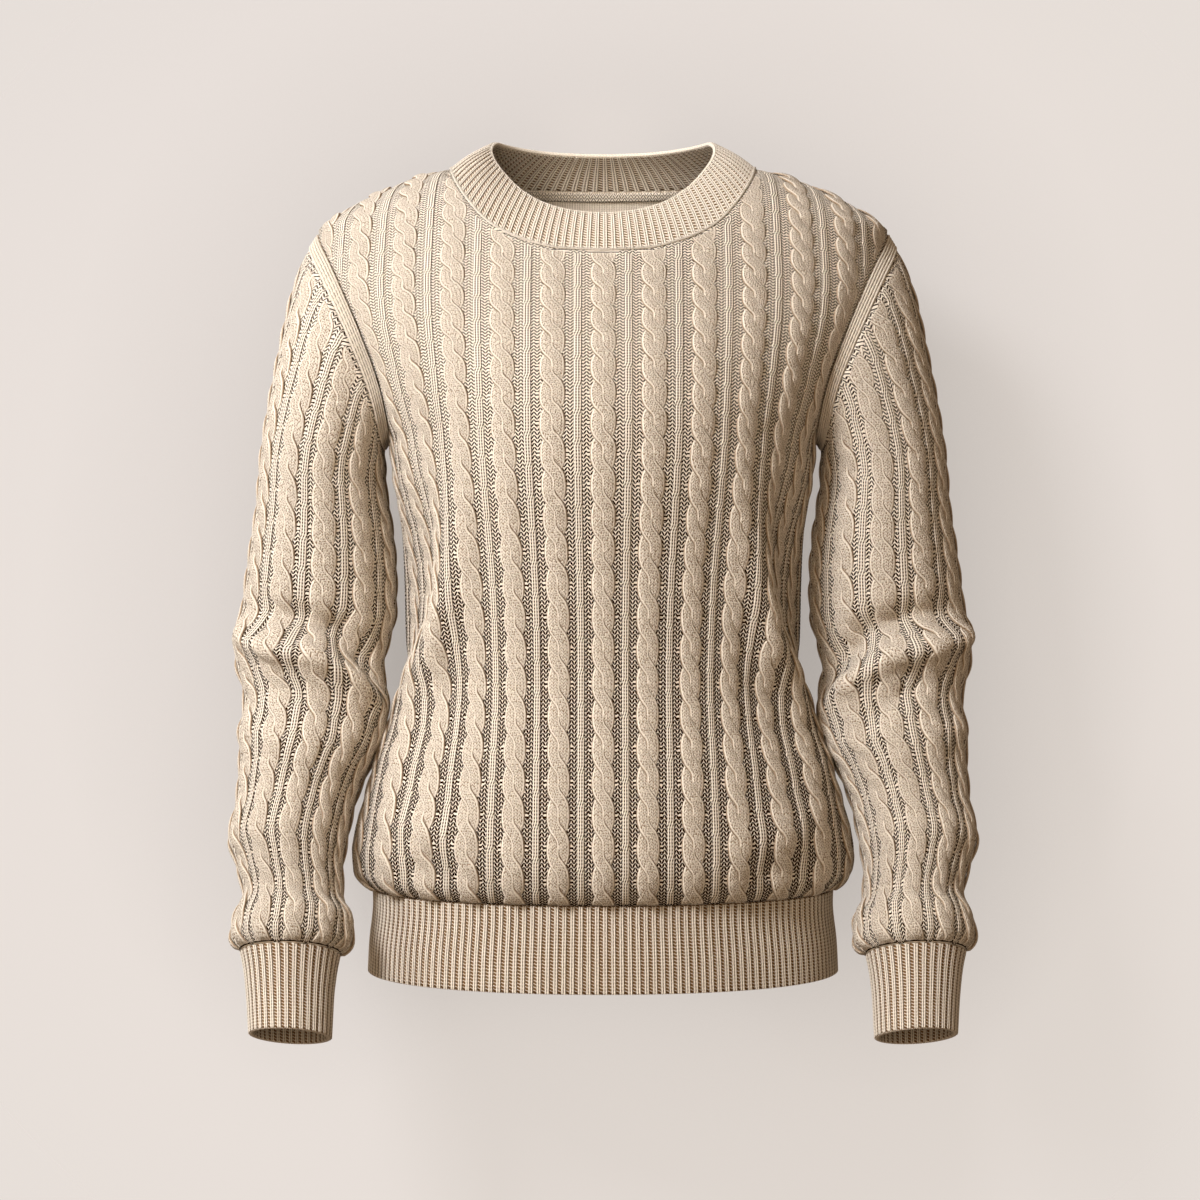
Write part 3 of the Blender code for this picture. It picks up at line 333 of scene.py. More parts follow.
class Panel:
    """Front (side -1) or back (side 1) of the body, by level z and fraction u of the way to the side seam."""

    def __init__(self, side):
        self.side = side
        z, half, front, back, spacing = columns_of(BODY_SECTIONS)
        edge_z, edge_x, front_y, back_y = columns_of(EDGE_LINE)
        depth, edge_y = (front, front_y) if side < 0 else (back, back_y)
        levels = [np.arange(HEM_Z, SHOULDER_Z, 3.0), np.arange(SHOULDER_Z, NECK_SIDE_Z, 0.6), [NECK_SIDE_Z]]
        self.z = np.concatenate(levels)
        self.u = np.linspace(0, 1, 121)
        low = self.z < ARMPIT_Z
        self.end_x = np.where(low, smooth_interp(self.z, z, half), smooth_interp(self.z, edge_z, edge_x))
        self.end_y = np.where(low, SIDE_Y, smooth_interp(self.z, edge_z, edge_y))
        depths = smooth_interp(self.z, z, depth)
        centre_spacing = smooth_interp(self.z, z, spacing)
        turn = np.linspace(0, math.pi / 2, 161)
        points = np.zeros((len(self.z), len(self.u), 3))
        self.end_u = np.zeros(len(self.z))
        middle_y = np.interp(self.z, [ARMPIT_Z, SHOULDER_Z], [SIDE_Y, SHOULDER_Y])
        power = 2 / SECTION_POWER
        full = 0.0
        for i, level in enumerate(self.z):
            reach = depths[i] - side * middle_y[i]
            # the section passes through the armhole edge and runs on past it, so the columns keep their run
            edge_turn = math.acos(max(0.0, side * (self.end_y[i] - middle_y[i]) / reach) ** (1 / power))
            x = self.end_x[i] * (np.sin(turn) / math.sin(edge_turn)) ** power
            y = middle_y[i] + side * reach * np.cos(turn) ** power
            arc = run_length(np.stack([x, y], 1))
            if level <= SHOULDER_Z:
                full = arc[-1]
            centre = min(1.3, centre_spacing[i] * BODY_COLUMNS / full)
            wanted = full * (centre * self.u + (1 - centre) * self.u**3)
            edge = np.interp(edge_turn, turn, arc)
            self.end_u[i] = min(1.0, np.interp(edge, wanted, self.u))
            points[i, :, 0] = np.interp(wanted, arc, x)
            points[i, :, 1] = np.interp(wanted, arc, y)
            points[i, :, 2] = level
        across = fold_height(points[..., 0], points[..., 2], BODY_FOLDS)
        outward = np.zeros_like(points)
        outward[..., 0] = points[..., 0] / 150.0**2
        outward[..., 1] = points[..., 1] / 110.0**2
        # the folds fade at the side and hem seams, so that the edges stay where the tables put them
        fade = np.clip((1 - self.u) / 0.12, 0, 1)[None, :] * np.clip((self.z - HEM_Z) / 15, 0, 1)[:, None]
        weight = 1.0 if side < 0 else 0.6
        points += unit(outward) * (across * fade * weight)[..., None]
        self.points = points
        self.t = run_length(points)

    def on(self, grid, u, z):
        """Values of a grid at these fractions (taken without sign) and levels."""
        rows = np.interp(z, self.z, np.arange(len(self.z)))
        return blend(grid, rows, np.abs(u) * (len(self.u) - 1))

    def at(self, u, z):
        p = self.on(self.points, u, z)
        p[..., 0] *= np.sign(u) + (u == 0)
        return p

    def form(self):
        t, half = even_columns(self.t, self.points)
        mirrored = half[:0:-1] * [-1, 1, 1]
        points = np.concatenate([mirrored, half])
        # s grows to the right of someone facing the panel, which is to -X on the back
        points = points if self.side < 0 else points[::-1]
        points = points + [0, self.side * SEAM_GAP / 2, 0]
        return Form(np.linspace(-FLAT_HALF, FLAT_HALF, len(points)), t, points)

    def neck_line(self):
        """Points of the neck seam from -X to +X as fraction u and level z."""
        nx, nz = columns_of(FRONT_NECK if self.side < 0 else BACK_NECK)
        x = NECK_SIDE_X * np.sin(np.linspace(-math.pi / 2, math.pi / 2, 61))
        z = smooth_interp(np.abs(x), nx, nz)
        u = np.zeros(len(x))
        for i, (px, pz) in enumerate(zip(x, z)):
            row = self.on(self.points, self.u, pz + 0 * self.u)[:, 0]
            u[i] = np.interp(abs(px), row, self.u) * (1 if px >= 0 else -1)
        return u, z


class Neck:
    """The neck seam and the neckband's rim, by angle: 0 at the front, growing towards +X."""

    def __init__(self, front, back):
        self.lines = {}
        for panel in (front, back):
            u, z = panel.neck_line()
            points = panel.at(u, z)
            points[0] = (-NECK_SIDE_X, SHOULDER_Y, NECK_SIDE_Z)
            points[-1] = (NECK_SIDE_X, SHOULDER_Y, NECK_SIDE_Z)
            self.lines[panel.side] = points

    def seam(self, angle):
        side_turn = math.radians(NECK_SIDE_TURN)
        turn = np.linspace(-1, 1, 61)
        angle = (angle + math.pi) % (2 * math.pi) - math.pi
        front = at_run(self.lines[-1], turn, angle / side_turn)
        part = np.sign(angle) * (math.pi - np.abs(angle)) / (math.pi - side_turn)
        back = at_run(self.lines[1], turn, part)
        return np.where((np.abs(angle) <= side_turn)[:, None], front, back)

    def rim(self, angle):
        x = NECK_RIM_HALF[0] * np.sin(angle)
        y = NECK_RIM_MID_Y - NECK_RIM_HALF[1] * np.cos(angle)
        hy, hz = columns_of(NECK_RIM_Z)
        return np.stack([x, y, smooth_interp(y, hy, hz)], -1)

    def outward(self, angle):
        """Wall direction along the seam, shared with the panels, and along the rim."""
        seam, rim = self.seam(angle), self.rim(angle)
        band = unit(np.cross(self.seam(angle + 0.04) - self.seam(angle - 0.04), rim - seam))
        side = np.sin(angle)
        body = unit(np.stack([0.5 * side, -0.75 * np.cos(angle), 0.35 + 0.55 * side**2], -1))
        top = unit(np.cross(self.rim(angle + 0.03) - self.rim(angle - 0.03), rim - seam))
        return unit(band + body), top


def arm_angle(s, sign):
    """Angle round the arm at a flat place across a sleeve, which starts and ends underarm."""
    return (math.pi - sign * s / SLEEVE_ROUND * 2 * math.pi) % (2 * math.pi)


class Sleeve:
    """A sleeve on the +X side, top to cuff, by angle psi: 0 outside, 90 at the front, 180 underarm."""

    def __init__(self, rings, whole_lean=False):
        rings = columns_of(rings)
        outer_x, outer_z, inner_x, inner_z = rings[:4]
        chord = np.hypot(np.diff(outer_x + inner_x) / 2, np.diff(outer_z + inner_z) / 2)
        place = np.concatenate([[0], np.cumsum(np.maximum(chord, 4))])
        w = np.linspace(0, place[-1], 241)
        ox, oz, ix, iz, my, hd = (smooth_interp(w, place, v) for v in rings)
        mid_z = (oz + iz) / 2
        bent = np.ones(len(w)) if whole_lean else np.clip((ELBOW_Z - mid_z) / LEAN_RUN, 0, 1)
        lean = math.radians(FOREARM_LEAN) * bent
        self.psi = np.radians(np.arange(0, 361, 3.0))
        out = np.stack([(ox - ix) / 2, 0 * ox, (oz - iz) / 2], 1)
        centre = np.stack([(ox + ix) / 2, my, mid_z], 1)
        forward = np.stack([0 * ox, -np.cos(lean), np.sin(lean)], 1) * hd[:, None]
        c, s = np.cos(self.psi), np.sin(self.psi)
        points = centre[:, None] + out[:, None] * c[None, :, None] + forward[:, None] * s[None, :, None]
        if not whole_lean:
            keep = (1 - np.clip(w / place[5], 0, 1)) ** 1.5
            shift = armhole_points(self.psi) - points[0]
            points = points + shift[None] * keep[:, None, None]
            angle = np.degrees(self.psi)[None, :] + 0 * points[..., 2]
            folds = sum(fold_height(angle - turn, points[..., 2], SLEEVE_FOLDS) for turn in (0, 360))
            fade = np.clip(np.minimum(w, place[-1] - w) / 12, 0, 1)
            points = points + unit(points - centre[:, None]) * (folds * fade[:, None])[..., None]
        self.points = points
        down = run_length(points)
        self.t = down[-1] - down

    def top(self, psi):
        """Length of the column at psi from the cuff seam to the armhole."""
        return np.interp(psi % (2 * math.pi), self.psi, self.t[0])

    def form(self, sign):
        """The form of the sleeve on the side of sign, its flat width starting and ending underarm."""
        t, points = even_columns(self.t[::-1], self.points[::-1])
        s = np.linspace(0, SLEEVE_ROUND, len(self.psi))
        place = arm_angle(s, sign) / (2 * math.pi) * (len(self.psi) - 1)
        i = np.minimum(place.astype(int), len(self.psi) - 2)
        part = (place - i)[:, None, None]
        points = points[i] * (1 - part) + points[i + 1] * part
        return Form(s, t, points * [sign, 1, 1], closed=True)


def armhole_points(psi):
    """Points of the armhole loop: psi 0 at the shoulder tip, 90 degrees at the front, 180 at the armpit."""
    edge_z, edge_x, front_y, back_y = columns_of(EDGE_LINE)
    levels = np.linspace(SHOULDER_Z, ARMPIT_Z, 80)
    found = []
    for edge_y in (front_y, back_y):
        x, y = (smooth_interp(levels, edge_z, edge) for edge in (edge_x, edge_y))
        line = np.stack([x, y, levels], 1)
        run = run_length(line)
        found.append(at_run(line, run, np.minimum(psi, 2 * math.pi - psi) / math.pi * run[-1]))
    return np.where((psi <= math.pi)[:, None], *found)


def band_width(psi):
    """Width of the armhole band, narrower under the arm."""
    return BAND_WIDTH * (0.72 + 0.28 * np.cos(psi / 2) ** 2)


# Node trees


class Num:
    """A number or vector in a node tree; arithmetic on it adds Math nodes."""

    def __init__(self, tree, socket):
        self.tree, self.socket = tree, socket

    def op(self, kind, *others):
        return read(self.tree, "ShaderNodeMath", 0, self, *others, operation=kind)

    def __add__(self, other):
        return self.op("ADD", other)

    def __sub__(self, other):
        return self.op("SUBTRACT", other)

    def __rsub__(self, other):
        return self.op("MULTIPLY_ADD", -1.0, other)

    def __mul__(self, other):
        return self.op("MULTIPLY", other)

    def __truediv__(self, other):
        return self.op("DIVIDE", other)

    __radd__, __rmul__ = __add__, __mul__

    def fraction(self):
        return self.op("FRACT")

    def size(self):
        return self.op("ABSOLUTE")

    def between(self, low, high, out_low=0.0, out_high=1.0):
        """Smooth step from out_low at low to out_high at high."""
        values = dict(From_Min=low, From_Max=high, To_Min=out_low, To_Max=out_high)
        smooth = dict(interpolation_type="SMOOTHSTEP")
        return read(self.tree, "ShaderNodeMapRange", "Result", Value=self, **values, **smooth)


def feed(tree, slot, value):
    """Gives an input its value: a plain one, or a link from a number, a socket or a node's first output."""
    if isinstance(value, bpy.types.Node):
        value = value.outputs[0]
    if isinstance(value, Num):
        value = value.socket
    if isinstance(value, bpy.types.NodeSocket):
        tree.links.new(value, slot)
    else:
        slot.default_value = value


def put(tree, kind, *numbered, **named):
    """Adds a node. Its inputs are given in order or by title, and its settings by names in small letters."""
    node = tree.nodes.new(kind)
    inputs = dict(enumerate(numbered))
    for key, value in named.items():
        if key.islower():
            setattr(node, key, value)
        else:
            inputs[key.replace("_", " ")] = value
    for key, value in inputs.items():
        feed(tree, node.inputs[key], value)
    return node


def read(tree, kind, output, *numbered, **named):
    """One output of a new node, as a number."""
    return Num(tree, put(tree, kind, *numbered, **named).outputs[output])


def parts_of(tree, vector):
    """X, Y and Z of a vector."""
    return [Num(tree, out) for out in put(tree, "ShaderNodeSeparateXYZ", vector).outputs]


def vector_of(tree, x=0.0, y=0.0, z=0.0):
    return read(tree, "ShaderNodeCombineXYZ", 0, x, y, z)


def colour_between(tree, share, first, second):
    node = put(tree, "ShaderNodeMix", share, data_type="RGBA")
    for number, colour in ((6, first), (7, second)):
        feed(tree, node.inputs[number], colour)
    return node.outputs[2]


GEOMETRY = {"Geometry": "Geometry"}
STITCH = {"Height": "Float", "Gap": "Float"}


def new_tree(name, kind, outputs, **inputs):
    """A node group, then its inputs in order. An input's value is its default, or the name of its kind."""
    tree = bpy.data.node_groups.new(name, kind)
    for title, value in inputs.items():
        sort = value if isinstance(value, str) else "Int" if isinstance(value, int) else "Float"
        title = title.replace("_", " ")
        made = tree.interface.new_socket(title, in_out="INPUT", socket_type="NodeSocket" + sort)
        if sort != value:
            made.default_value = value
    for title, sort in outputs.items():
        tree.interface.new_socket(title, in_out="OUTPUT", socket_type="NodeSocket" + sort)
    entry = tree.nodes.new("NodeGroupInput")
    return tree, *(Num(tree, out) for out in entry.outputs[: len(inputs)])


def ended(tree, **results):
    """The tree, with its results linked to its output."""
    out = tree.nodes.new("NodeGroupOutput")
    for title, value in results.items():
        feed(tree, out.inputs[title], value)
    return tree


def stored(tree, geometry, name, value, domain="POINT", **settings):
    """Keeps a value on the geometry under a name."""
    kind = "GeometryNodeStoreNamedAttribute"
    return put(tree, kind, Geometry=geometry, Name=name, Value=value, domain=domain, **settings)


def kept(tree, name):
    return read(tree, "GeometryNodeInputNamedAttribute", 0, Name=name)


def laid_flat(tree, geometry, u, v, material):
    """Ends a geometry tree: the flat place of its stitches, then its material."""
    flat = stored(tree, geometry, "UVMap", vector_of(tree, u, v), "CORNER", data_type="FLOAT2")
    return ended(tree, Geometry=put(tree, "GeometryNodeSetMaterial", Geometry=flat, Material=material))


def raised_columns_tree():
    """Raised knitted columns laid flat: straight ribs, or with Sway the strand of a rope cable."""
    columns = dict(Columns=13, First_Column=0.0, Column_Pitch=COLUMN_PITCH, Start=0.0, Length=560.0)
    strand = dict(Points=200, Crossing_Pitch=CROSSING_PITCH, Phase=0.0, Sway=0.0, Lift=0.0, Base=0.0)
    section = dict(Width=8.0, Rise=2.5, Groove=0.0, Around=8, Material="Material")
    tree, *given = new_tree("raised columns", "GeometryNodeTree", GEOMETRY, **columns, **strand, **section)
    count, first, pitch, start, length, points, crossing, phase, sway, lift, base, *given = given
    width, rise, groove, around, material = given
    ends = dict(Start=vector_of(tree, y=start), End=vector_of(tree, y=start + length))
    line = put(tree, "GeometryNodeCurvePrimitiveLine", **ends)
    line = put(tree, "GeometryNodeResampleCurve", Curve=line, Count=points)
    _, y, _ = parts_of(tree, put(tree, "GeometryNodeInputPosition"))
    turn = y * math.pi / crossing + phase
    # a strand stays beside its fellow for most of the way and crosses over quickly
    swing = (turn.op("COSINE") * 1.5).op("TANH") / math.tanh(1.5)
    moved = vector_of(tree, sway * swing, y, lift * turn.op("SINE") + base)
    line = put(tree, "GeometryNodeSetPosition", Geometry=line, Position=moved)
    line = stored(tree, line, "along", read(tree, "GeometryNodeSplineParameter", "Length"))
    line = put(tree, "GeometryNodeSetCurveNormal", Curve=line, mode="Z_UP")

    profile = put(tree, "GeometryNodeCurvePrimitiveLine", End=(1.0, 0.0, 0.0))
    profile = put(tree, "GeometryNodeResampleCurve", Curve=profile, Count=around)
    f, _, _ = parts_of(tree, put(tree, "GeometryNodeInputPosition"))
    x = (f * math.pi).op("COSINE") * width * -0.5
    middle = 1.0 - (f * 2.0 - 1.0).size() / 0.45
    dip = 1.0 - groove * middle.op("MAXIMUM", 0.0)
    height = rise * (f * math.pi).op("SINE").op("MAXIMUM", 0.0).op("POWER", 0.75) * dip
    curved = vector_of(tree, x, height * -1.0)
    profile = put(tree, "GeometryNodeSetPosition", Geometry=profile, Position=curved)
    placed_x, _, _ = parts_of(tree, put(tree, "GeometryNodeInputPosition"))
    profile = stored(tree, profile, "across", placed_x)
    profile = put(tree, "GeometryNodeSetSplineCyclic", Geometry=profile, Cyclic=True)
    swept = put(tree, "GeometryNodeCurveToMesh", Curve=line, Profile_Curve=profile, Fill_Caps=True)
    spots = dict(Start_Location=vector_of(tree, first * pitch), Offset=vector_of(tree, pitch))
    spots = put(tree, "GeometryNodeMeshLine", Count=count, **spots)
    copies = put(tree, "GeometryNodeInstanceOnPoints", Points=spots, Instance=swept)
    copies = stored(tree, copies, "column", put(tree, "GeometryNodeInputIndex"), "INSTANCE")
    whole = put(tree, "GeometryNodeRealizeInstances", copies)
    # each column's stitches start at another height
    along = kept(tree, "along") + kept(tree, "column") * 7.3
    return laid_flat(tree, whole, kept(tree, "across"), along, material)


def cord_tree():
    """A round cord along a line, with a bead at each stitch."""
    inputs = dict(Line="Geometry", Radius=0.9, Bead=0.25, Bead_Length=2.9, Around=8, Material="Material")
    tree, *given = new_tree("linking cord", "GeometryNodeTree", GEOMETRY, **inputs)
    line, radius, bead, bead_length, around, material = given
    line = put(tree, "GeometryNodeMeshToCurve", line)
    line = stored(tree, line, "along", read(tree, "GeometryNodeSplineParameter", "Length"))
    profile = put(tree, "GeometryNodeCurvePrimitiveCircle", Resolution=around, Radius=1.0)
    profile = stored(tree, profile, "across", read(tree, "GeometryNodeSplineParameter", "Factor") * 6.0)
    along = kept(tree, "along")
    scale = radius * ((along * (2 * math.pi) / bead_length).op("SINE") * bead + 1.0)
    curves = dict(Curve=line, Profile_Curve=profile, Scale=scale)
    swept = put(tree, "GeometryNodeCurveToMesh", Fill_Caps=True, **curves)
    return laid_flat(tree, swept, kept(tree, "across"), along, material)


def linked(name, data):
    """A new object in the scene."""
    obj = bpy.data.objects.new(name, data)
    bpy.context.scene.collection.objects.link(obj)
    return obj


def grown(name, group, source=None, **values):
    """Runs a tree on its own object and gives the plain mesh that it makes."""
    carrier = linked(name, source or bpy.data.meshes.new(name))
    modifier = carrier.modifiers.new("grow", "NODES")
    modifier.node_group = GROUPS[group]
    sockets = modifier.node_group.interface.items_tree
    keys = {item.name: item.identifier for item in sockets if item.in_out == "INPUT"}
    for title, value in values.items():
        modifier[keys[title.replace("_", " ")]] = value
    bpy.context.view_layer.update()
    graph = bpy.context.evaluated_depsgraph_get()
    mesh = bpy.data.meshes.new_from_object(carrier.evaluated_get(graph), depsgraph=graph)
    mesh.name = name
    bpy.data.objects.remove(carrier)
    return mesh


def points_of(mesh):
    found = np.empty(len(mesh.vertices) * 3, np.float32)
    mesh.vertices.foreach_get("co", found)
    return found.reshape(-1, 3).astype(float)


def set_points(mesh, points):
    mesh.vertices.foreach_set("co", np.asarray(points, np.float32).ravel())
    mesh.update()


def outline_distance(outline, places):
    """Distance inside a flat outline (negative outside) and the nearest point on it."""
    a = outline
    b = np.roll(outline, -1, axis=0)
    way = b - a
    size = np.maximum((way**2).sum(1), 1e-9)
    distance = np.empty(len(places))
    nearest = np.empty_like(places)
    for start in range(0, len(places), 3000):
        p = places[start : start + 3000, None, :]
        part = np.clip(((p - a) * way).sum(2) / size, 0, 1)
        foot = a + way * part[..., None]
        away = ((p - foot) ** 2).sum(2)
        best = away.argmin(1)
        rows = np.arange(len(best))
        crossing = (a[:, 1] > p[..., 1]) != (b[:, 1] > p[..., 1])
        rise = np.where(np.abs(way[:, 1]) < 1e-9, 1e-9, way[:, 1])
        left = p[..., 0] < a[:, 0] + (p[..., 1] - a[:, 1]) * way[:, 0] / rise
        within = (crossing & left).sum(1) % 2 == 1
        distance[start : start + 3000] = np.sqrt(away[rows, best]) * np.where(within, 1, -1)
        nearest[start : start + 3000] = foot[rows, best]
    return distance, nearest


def wrapped(mesh, form, outline=None, hem=5.0, rows=None, fade=5.0):
    """Wraps a flat knit on its form, cut off at the outline and drawn down into the seam there.

    The rows share out the height again, and high on the piece the knit lies flatter near its outline.
    """
    p = points_of(mesh)
    if rows is not None:
        p[:, 1] = np.interp(p[:, 1], rows[1], rows[0])
    if outline is not None:
        distance, nearest = outline_distance(outline, p[:, :2])
        beyond = distance < 0
        p[:, :2] = np.where(beyond[:, None], nearest, p[:, :2])
        held = smooth_step(distance / hem)
        reach = np.interp(p[:, 1], FLAT_FROM, (hem, fade))
        p[:, 2] *= 0.15 + 0.85 * smooth_step(distance / reach)
        p[:, 2] = p[:, 2] * held - SEAM_SINK * (1 - held)
    set_points(mesh, form.place(p[:, 0], p[:, 1], p[:, 2]) * 0.001)
    if outline is None:
        return mesh
    work = bmesh.new()
    work.from_mesh(mesh)
    work.verts.ensure_lookup_table()
    gone = [face for face in work.faces if all(beyond[v.index] for v in face.verts)]
    bmesh.ops.delete(work, geom=gone, context="FACES")
    bmesh.ops.dissolve_degenerate(work, dist=1e-6, edges=work.edges)
    edges = [edge for edge in work.edges if edge.is_boundary]
    bmesh.ops.holes_fill(work, edges=edges, sides=0)
    loose = [v for v in work.verts if not v.link_faces]
    bmesh.ops.delete(work, geom=loose, context="VERTS")
    work.to_mesh(mesh)
    work.free()
    return mesh


def joined(name, meshes):
    """One mesh from several of the same yarn, keeping their flat places."""
    work = bmesh.new()
    for mesh in meshes:
        work.from_mesh(mesh)
    whole = bpy.data.meshes.new(name)
    work.to_mesh(whole)
    work.free()
    for material in meshes[0].materials:
        whole.materials.append(material)
    for mesh in meshes:
        bpy.data.meshes.remove(mesh)
    return whole


def piece(name, mesh, stands_for=()):
    """A finished piece of the object from its mesh."""
    mesh.name = name
    mesh.shade_smooth()
    obj = linked(name, mesh)
    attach(obj, "root")
    if stands_for:
        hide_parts(*stands_for)
    return obj


def shell(name, outer, inner, s, t, materials, closed=False):
    """A cloth wall between an outer and an inner grid of points; s and t are the flat places, in mm."""
    n, m = outer.shape[:2]
    count = n - 1 if closed else n
    vertex = np.arange(count * m).reshape(count, m)
    if closed:
        vertex = np.concatenate([vertex, vertex[:1]])
    points = np.concatenate([outer[:count].reshape(-1, 3), inner[:count].reshape(-1, 3)]) * 0.001
    far = vertex + count * m
    flat = np.stack(np.broadcast_arrays(s, t), -1)
    faces, flats, kinds = [], [], []

    def strip(first, second, first_flat, second_flat, kind=0):
        for corners, (a, b) in ((faces, (first, second)), (flats, (first_flat, second_flat))):
            corners.append(np.stack([a[:-1], a[1:], b[1:], b[:-1]], 1))
        kinds.append(np.full(len(first) - 1, kind))

    for j in range(m - 1):
        strip(vertex[:, j], vertex[:, j + 1], flat[:, j], flat[:, j + 1])
        strip(far[:, j + 1], far[:, j], flat[:, j + 1], flat[:, j], 1)
    strip(far[:, 0], vertex[:, 0], flat[:, 0], flat[:, 0])
    strip(vertex[:, -1], far[:, -1], flat[:, -1], flat[:, -1])
    if not closed:
        strip(vertex[0], far[0], flat[0], flat[0])
        strip(far[-1], vertex[-1], flat[-1], flat[-1])
    mesh = bpy.data.meshes.new(name)
    mesh.from_pydata(points.tolist(), [], np.concatenate(faces).tolist())
    flats = np.concatenate(flats).astype(np.float32)
    mesh.uv_layers.new(name="UVMap").data.foreach_set("uv", flats.ravel())
    mesh.polygons.foreach_set("material_index", np.concatenate(kinds).astype(np.int32))
    for material in materials:
        mesh.materials.append(material)
    mesh.update()
    return mesh


def inset(grid, closed=False):
    """The inner face of a wall with this grid of points as its outer face."""
    n, m = grid.shape[:2]
    return grid - Form(np.arange(n), np.arange(m), grid, closed).normals * WALL


# Materials


def stitch_tree(name, **values):
    """The group of a stitch pattern, then its flat place x and y and its inputs in order."""
    tree, place, *given = new_tree(name, "ShaderNodeTree", STITCH, Vector="Vector", **values)
    return tree, *parts_of(tree, place)[:2], *given


def stocking_stitch():
    """V stitches in wales: raised height, and the gap beside each leg, where shade is painted dark."""
    values = dict(Wale_Width=2.8, Row_Height=2.2, Slant=0.9)
    tree, x, y, wale_width, row_height, slant = stitch_tree("stocking stitch", **values)
    side = ((x / wale_width).fraction() - 0.5).size()
    row = (y / row_height + side * slant * 2.0).fraction() - 0.5
    leg = (side - 0.25) / 0.25
    oval = leg * leg + (row / 0.62).op("POWER", 2.0)
    height = (1.0 - oval).op("MAXIMUM", 0.0).op("SQRT")
    return ended(tree, Height=height, Gap=height.between(0.0, 0.75, 1.0, 0.0))


def purl_ground():
    """The purl side between the columns: slanted bars in herringbone with a hole under each, where shade is
    painted dark.

    Beside each crossing of a cable a few ladder stitches run level from it.
    """
    values = dict(Bar_Width=2.3, Row_Height=3.0, Slant=0.9, Hole=0.43, Slack=0.66, Ladder=0.0)
    pitches = dict(Column_Pitch=COLUMN_PITCH, Crossing_Pitch=CROSSING_PITCH)
    tree, x, y, *given = stitch_tree("purl ground", **values, **pitches)
    bar_width, row_height, slant, hole, top_hole_share, laddered, pitch, crossing = given
    # the painted hole shade narrows towards the top of the body, between 0.4 m and 0.1 m below the origin, so
    # the chest comes out lighter
    _, _, height = parts_of(tree, read(tree, "ShaderNodeTexCoord", "Object"))
    from_cable = (((x / pitch + 0.5).fraction() - 0.5) * pitch).size()
    from_crossing = (((y / crossing + 0.5).fraction() - 0.5) * crossing).size()
    ladder = from_cable.between(10.8, 12.2, 1.0, 0.0) * from_crossing.between(2.2, 2.8, 1.0, 0.0) * laddered
    opening = hole * height.between(-0.4, -0.1, 1.0, top_hole_share) * (1.0 - ladder * 0.4)
    bar = x / bar_width
    across = bar.fraction() - 0.5
    turn = (bar * 0.5).fraction().between(0.499, 0.501, -1.0, 1.0)
    row = (y / row_height + across * turn * slant * (1.0 - ladder)).fraction() - 0.5
    ends = (across.size() * 2.0).op("POWER", 6.0) * (1.0 - ladder)
    gap = (row.size() / opening + ends).between(0.85, 1.05, 1.0, 0.0)
    return ended(tree, Height=1.0 - gap, Gap=gap)


def rib_wales():
    """Raised wales with dashes of painted shade between them, twisting over by one wale at each crossing."""
    values = dict(Wale_Width=1.87, Row_Height=2.4, Shift=0.5, Twist=0.0, Line=0.6)
    tree, x, y, *given = stitch_tree("rib wales", **values, Crossing_Pitch=CROSSING_PITCH)
    wale_width, row_height, shift, twist, line, crossing = given
    turned = (y / crossing).fraction().between(0.1, 0.42) * twist
    wale = ((x / wale_width + shift - turned).fraction() - 0.5).size()
    row = ((y / row_height + wale).fraction() - 0.5).size()
    dash = wale.between(0.16, 0.3) * row.between(0.18, 0.36, 1.0, line)
    return ended(tree, Height=1.0 - (wale * 2.0).op("POWER", 2.0), Gap=dash)


def brushed_strand():
    """A cable's strand: narrow wales of slanted stitch legs with painted shade between them, blurred by
    brushed flecks along it.
    """
    values = dict(Fleck_Width=0.9, Fleck_Length=2.4, Wale_Width=2.9, Row_Height=2.2)
    tree, x, y, fleck_width, fleck_length, wale_width, row_height = stitch_tree("brushed strand", **values)
    side = ((x / wale_width).fraction() - 0.5).size()
    leaning = y / row_height + side * 1.6
    leg = (leaning.fraction() - 0.5).size()
    place = vector_of(tree, x / fleck_width, leaning * row_height / fleck_length)
    flecks = read(tree, "ShaderNodeTexNoise", 0, Vector=place, Scale=1.0, Detail=1.0)
    light = flecks.between(0.35, 0.65)
    dash = leg.between(0.2, 0.4) * (1.0 - light * 0.6)
    edge = side.between(0.36, 0.48) * 0.35
    # the outermost leg of a strand is whole and light, with a line of painted shade in the crevice beyond it
    whole = 1.0 - x.size().between(3.2, 3.7) * 0.85
    crevice = x.size().between(4.3, 4.8)
    height = light * 0.5 - (dash * 0.7 + edge * 0.6) * whole
    # Gap is painted shade between the legs, at the wale edges and in the crevice, plus the random dark flecks
    return ended(tree, Height=height, Gap=(dash * 0.8 + (1.0 - light) * 0.3 + edge) * whole + crevice * 0.9)


def yarn_tree():
    """Cotton yarn over the whole garment: soft mottling, fine twist and fuzz, and the dark colour mixed in by
    Gap, which is painted shade in the stitch gaps and random flecks on the cables.
    """
    kinds = dict(Light="Color", Dark="Color", Gap=0.0)
    tree, light, dark, gap = new_tree("yarn", "ShaderNodeTree", {"Color": "Color", "Fuzz": "Float"}, **kinds)
    place = read(tree, "ShaderNodeTexCoord", "Object")
    broad, patch, fuzz = (
        read(tree, "ShaderNodeTexNoise", 0, Vector=place, Detail=2.0, Scale=scale, Roughness=rough)
        for scale, rough in ((9.0, 0.5), (900.0, 0.5), (2400.0, 0.7))
    )
    mottled = (broad * 0.25 + patch * 0.75).between(0.3, 0.7, -0.07, 0.07) + 1.0
    tone = colour_between(tree, gap, light, dark)
    tinted = put(tree, "ShaderNodeVectorMath", tone, Scale=mottled, operation="SCALE")
    return ended(tree, Color=tinted, Fuzz=fuzz)


TREES = (raised_columns_tree, cord_tree, stocking_stitch, purl_ground, rib_wales, brushed_strand, yarn_tree)
GROUPS = {tree.name: tree for tree in (make() for make in TREES)}

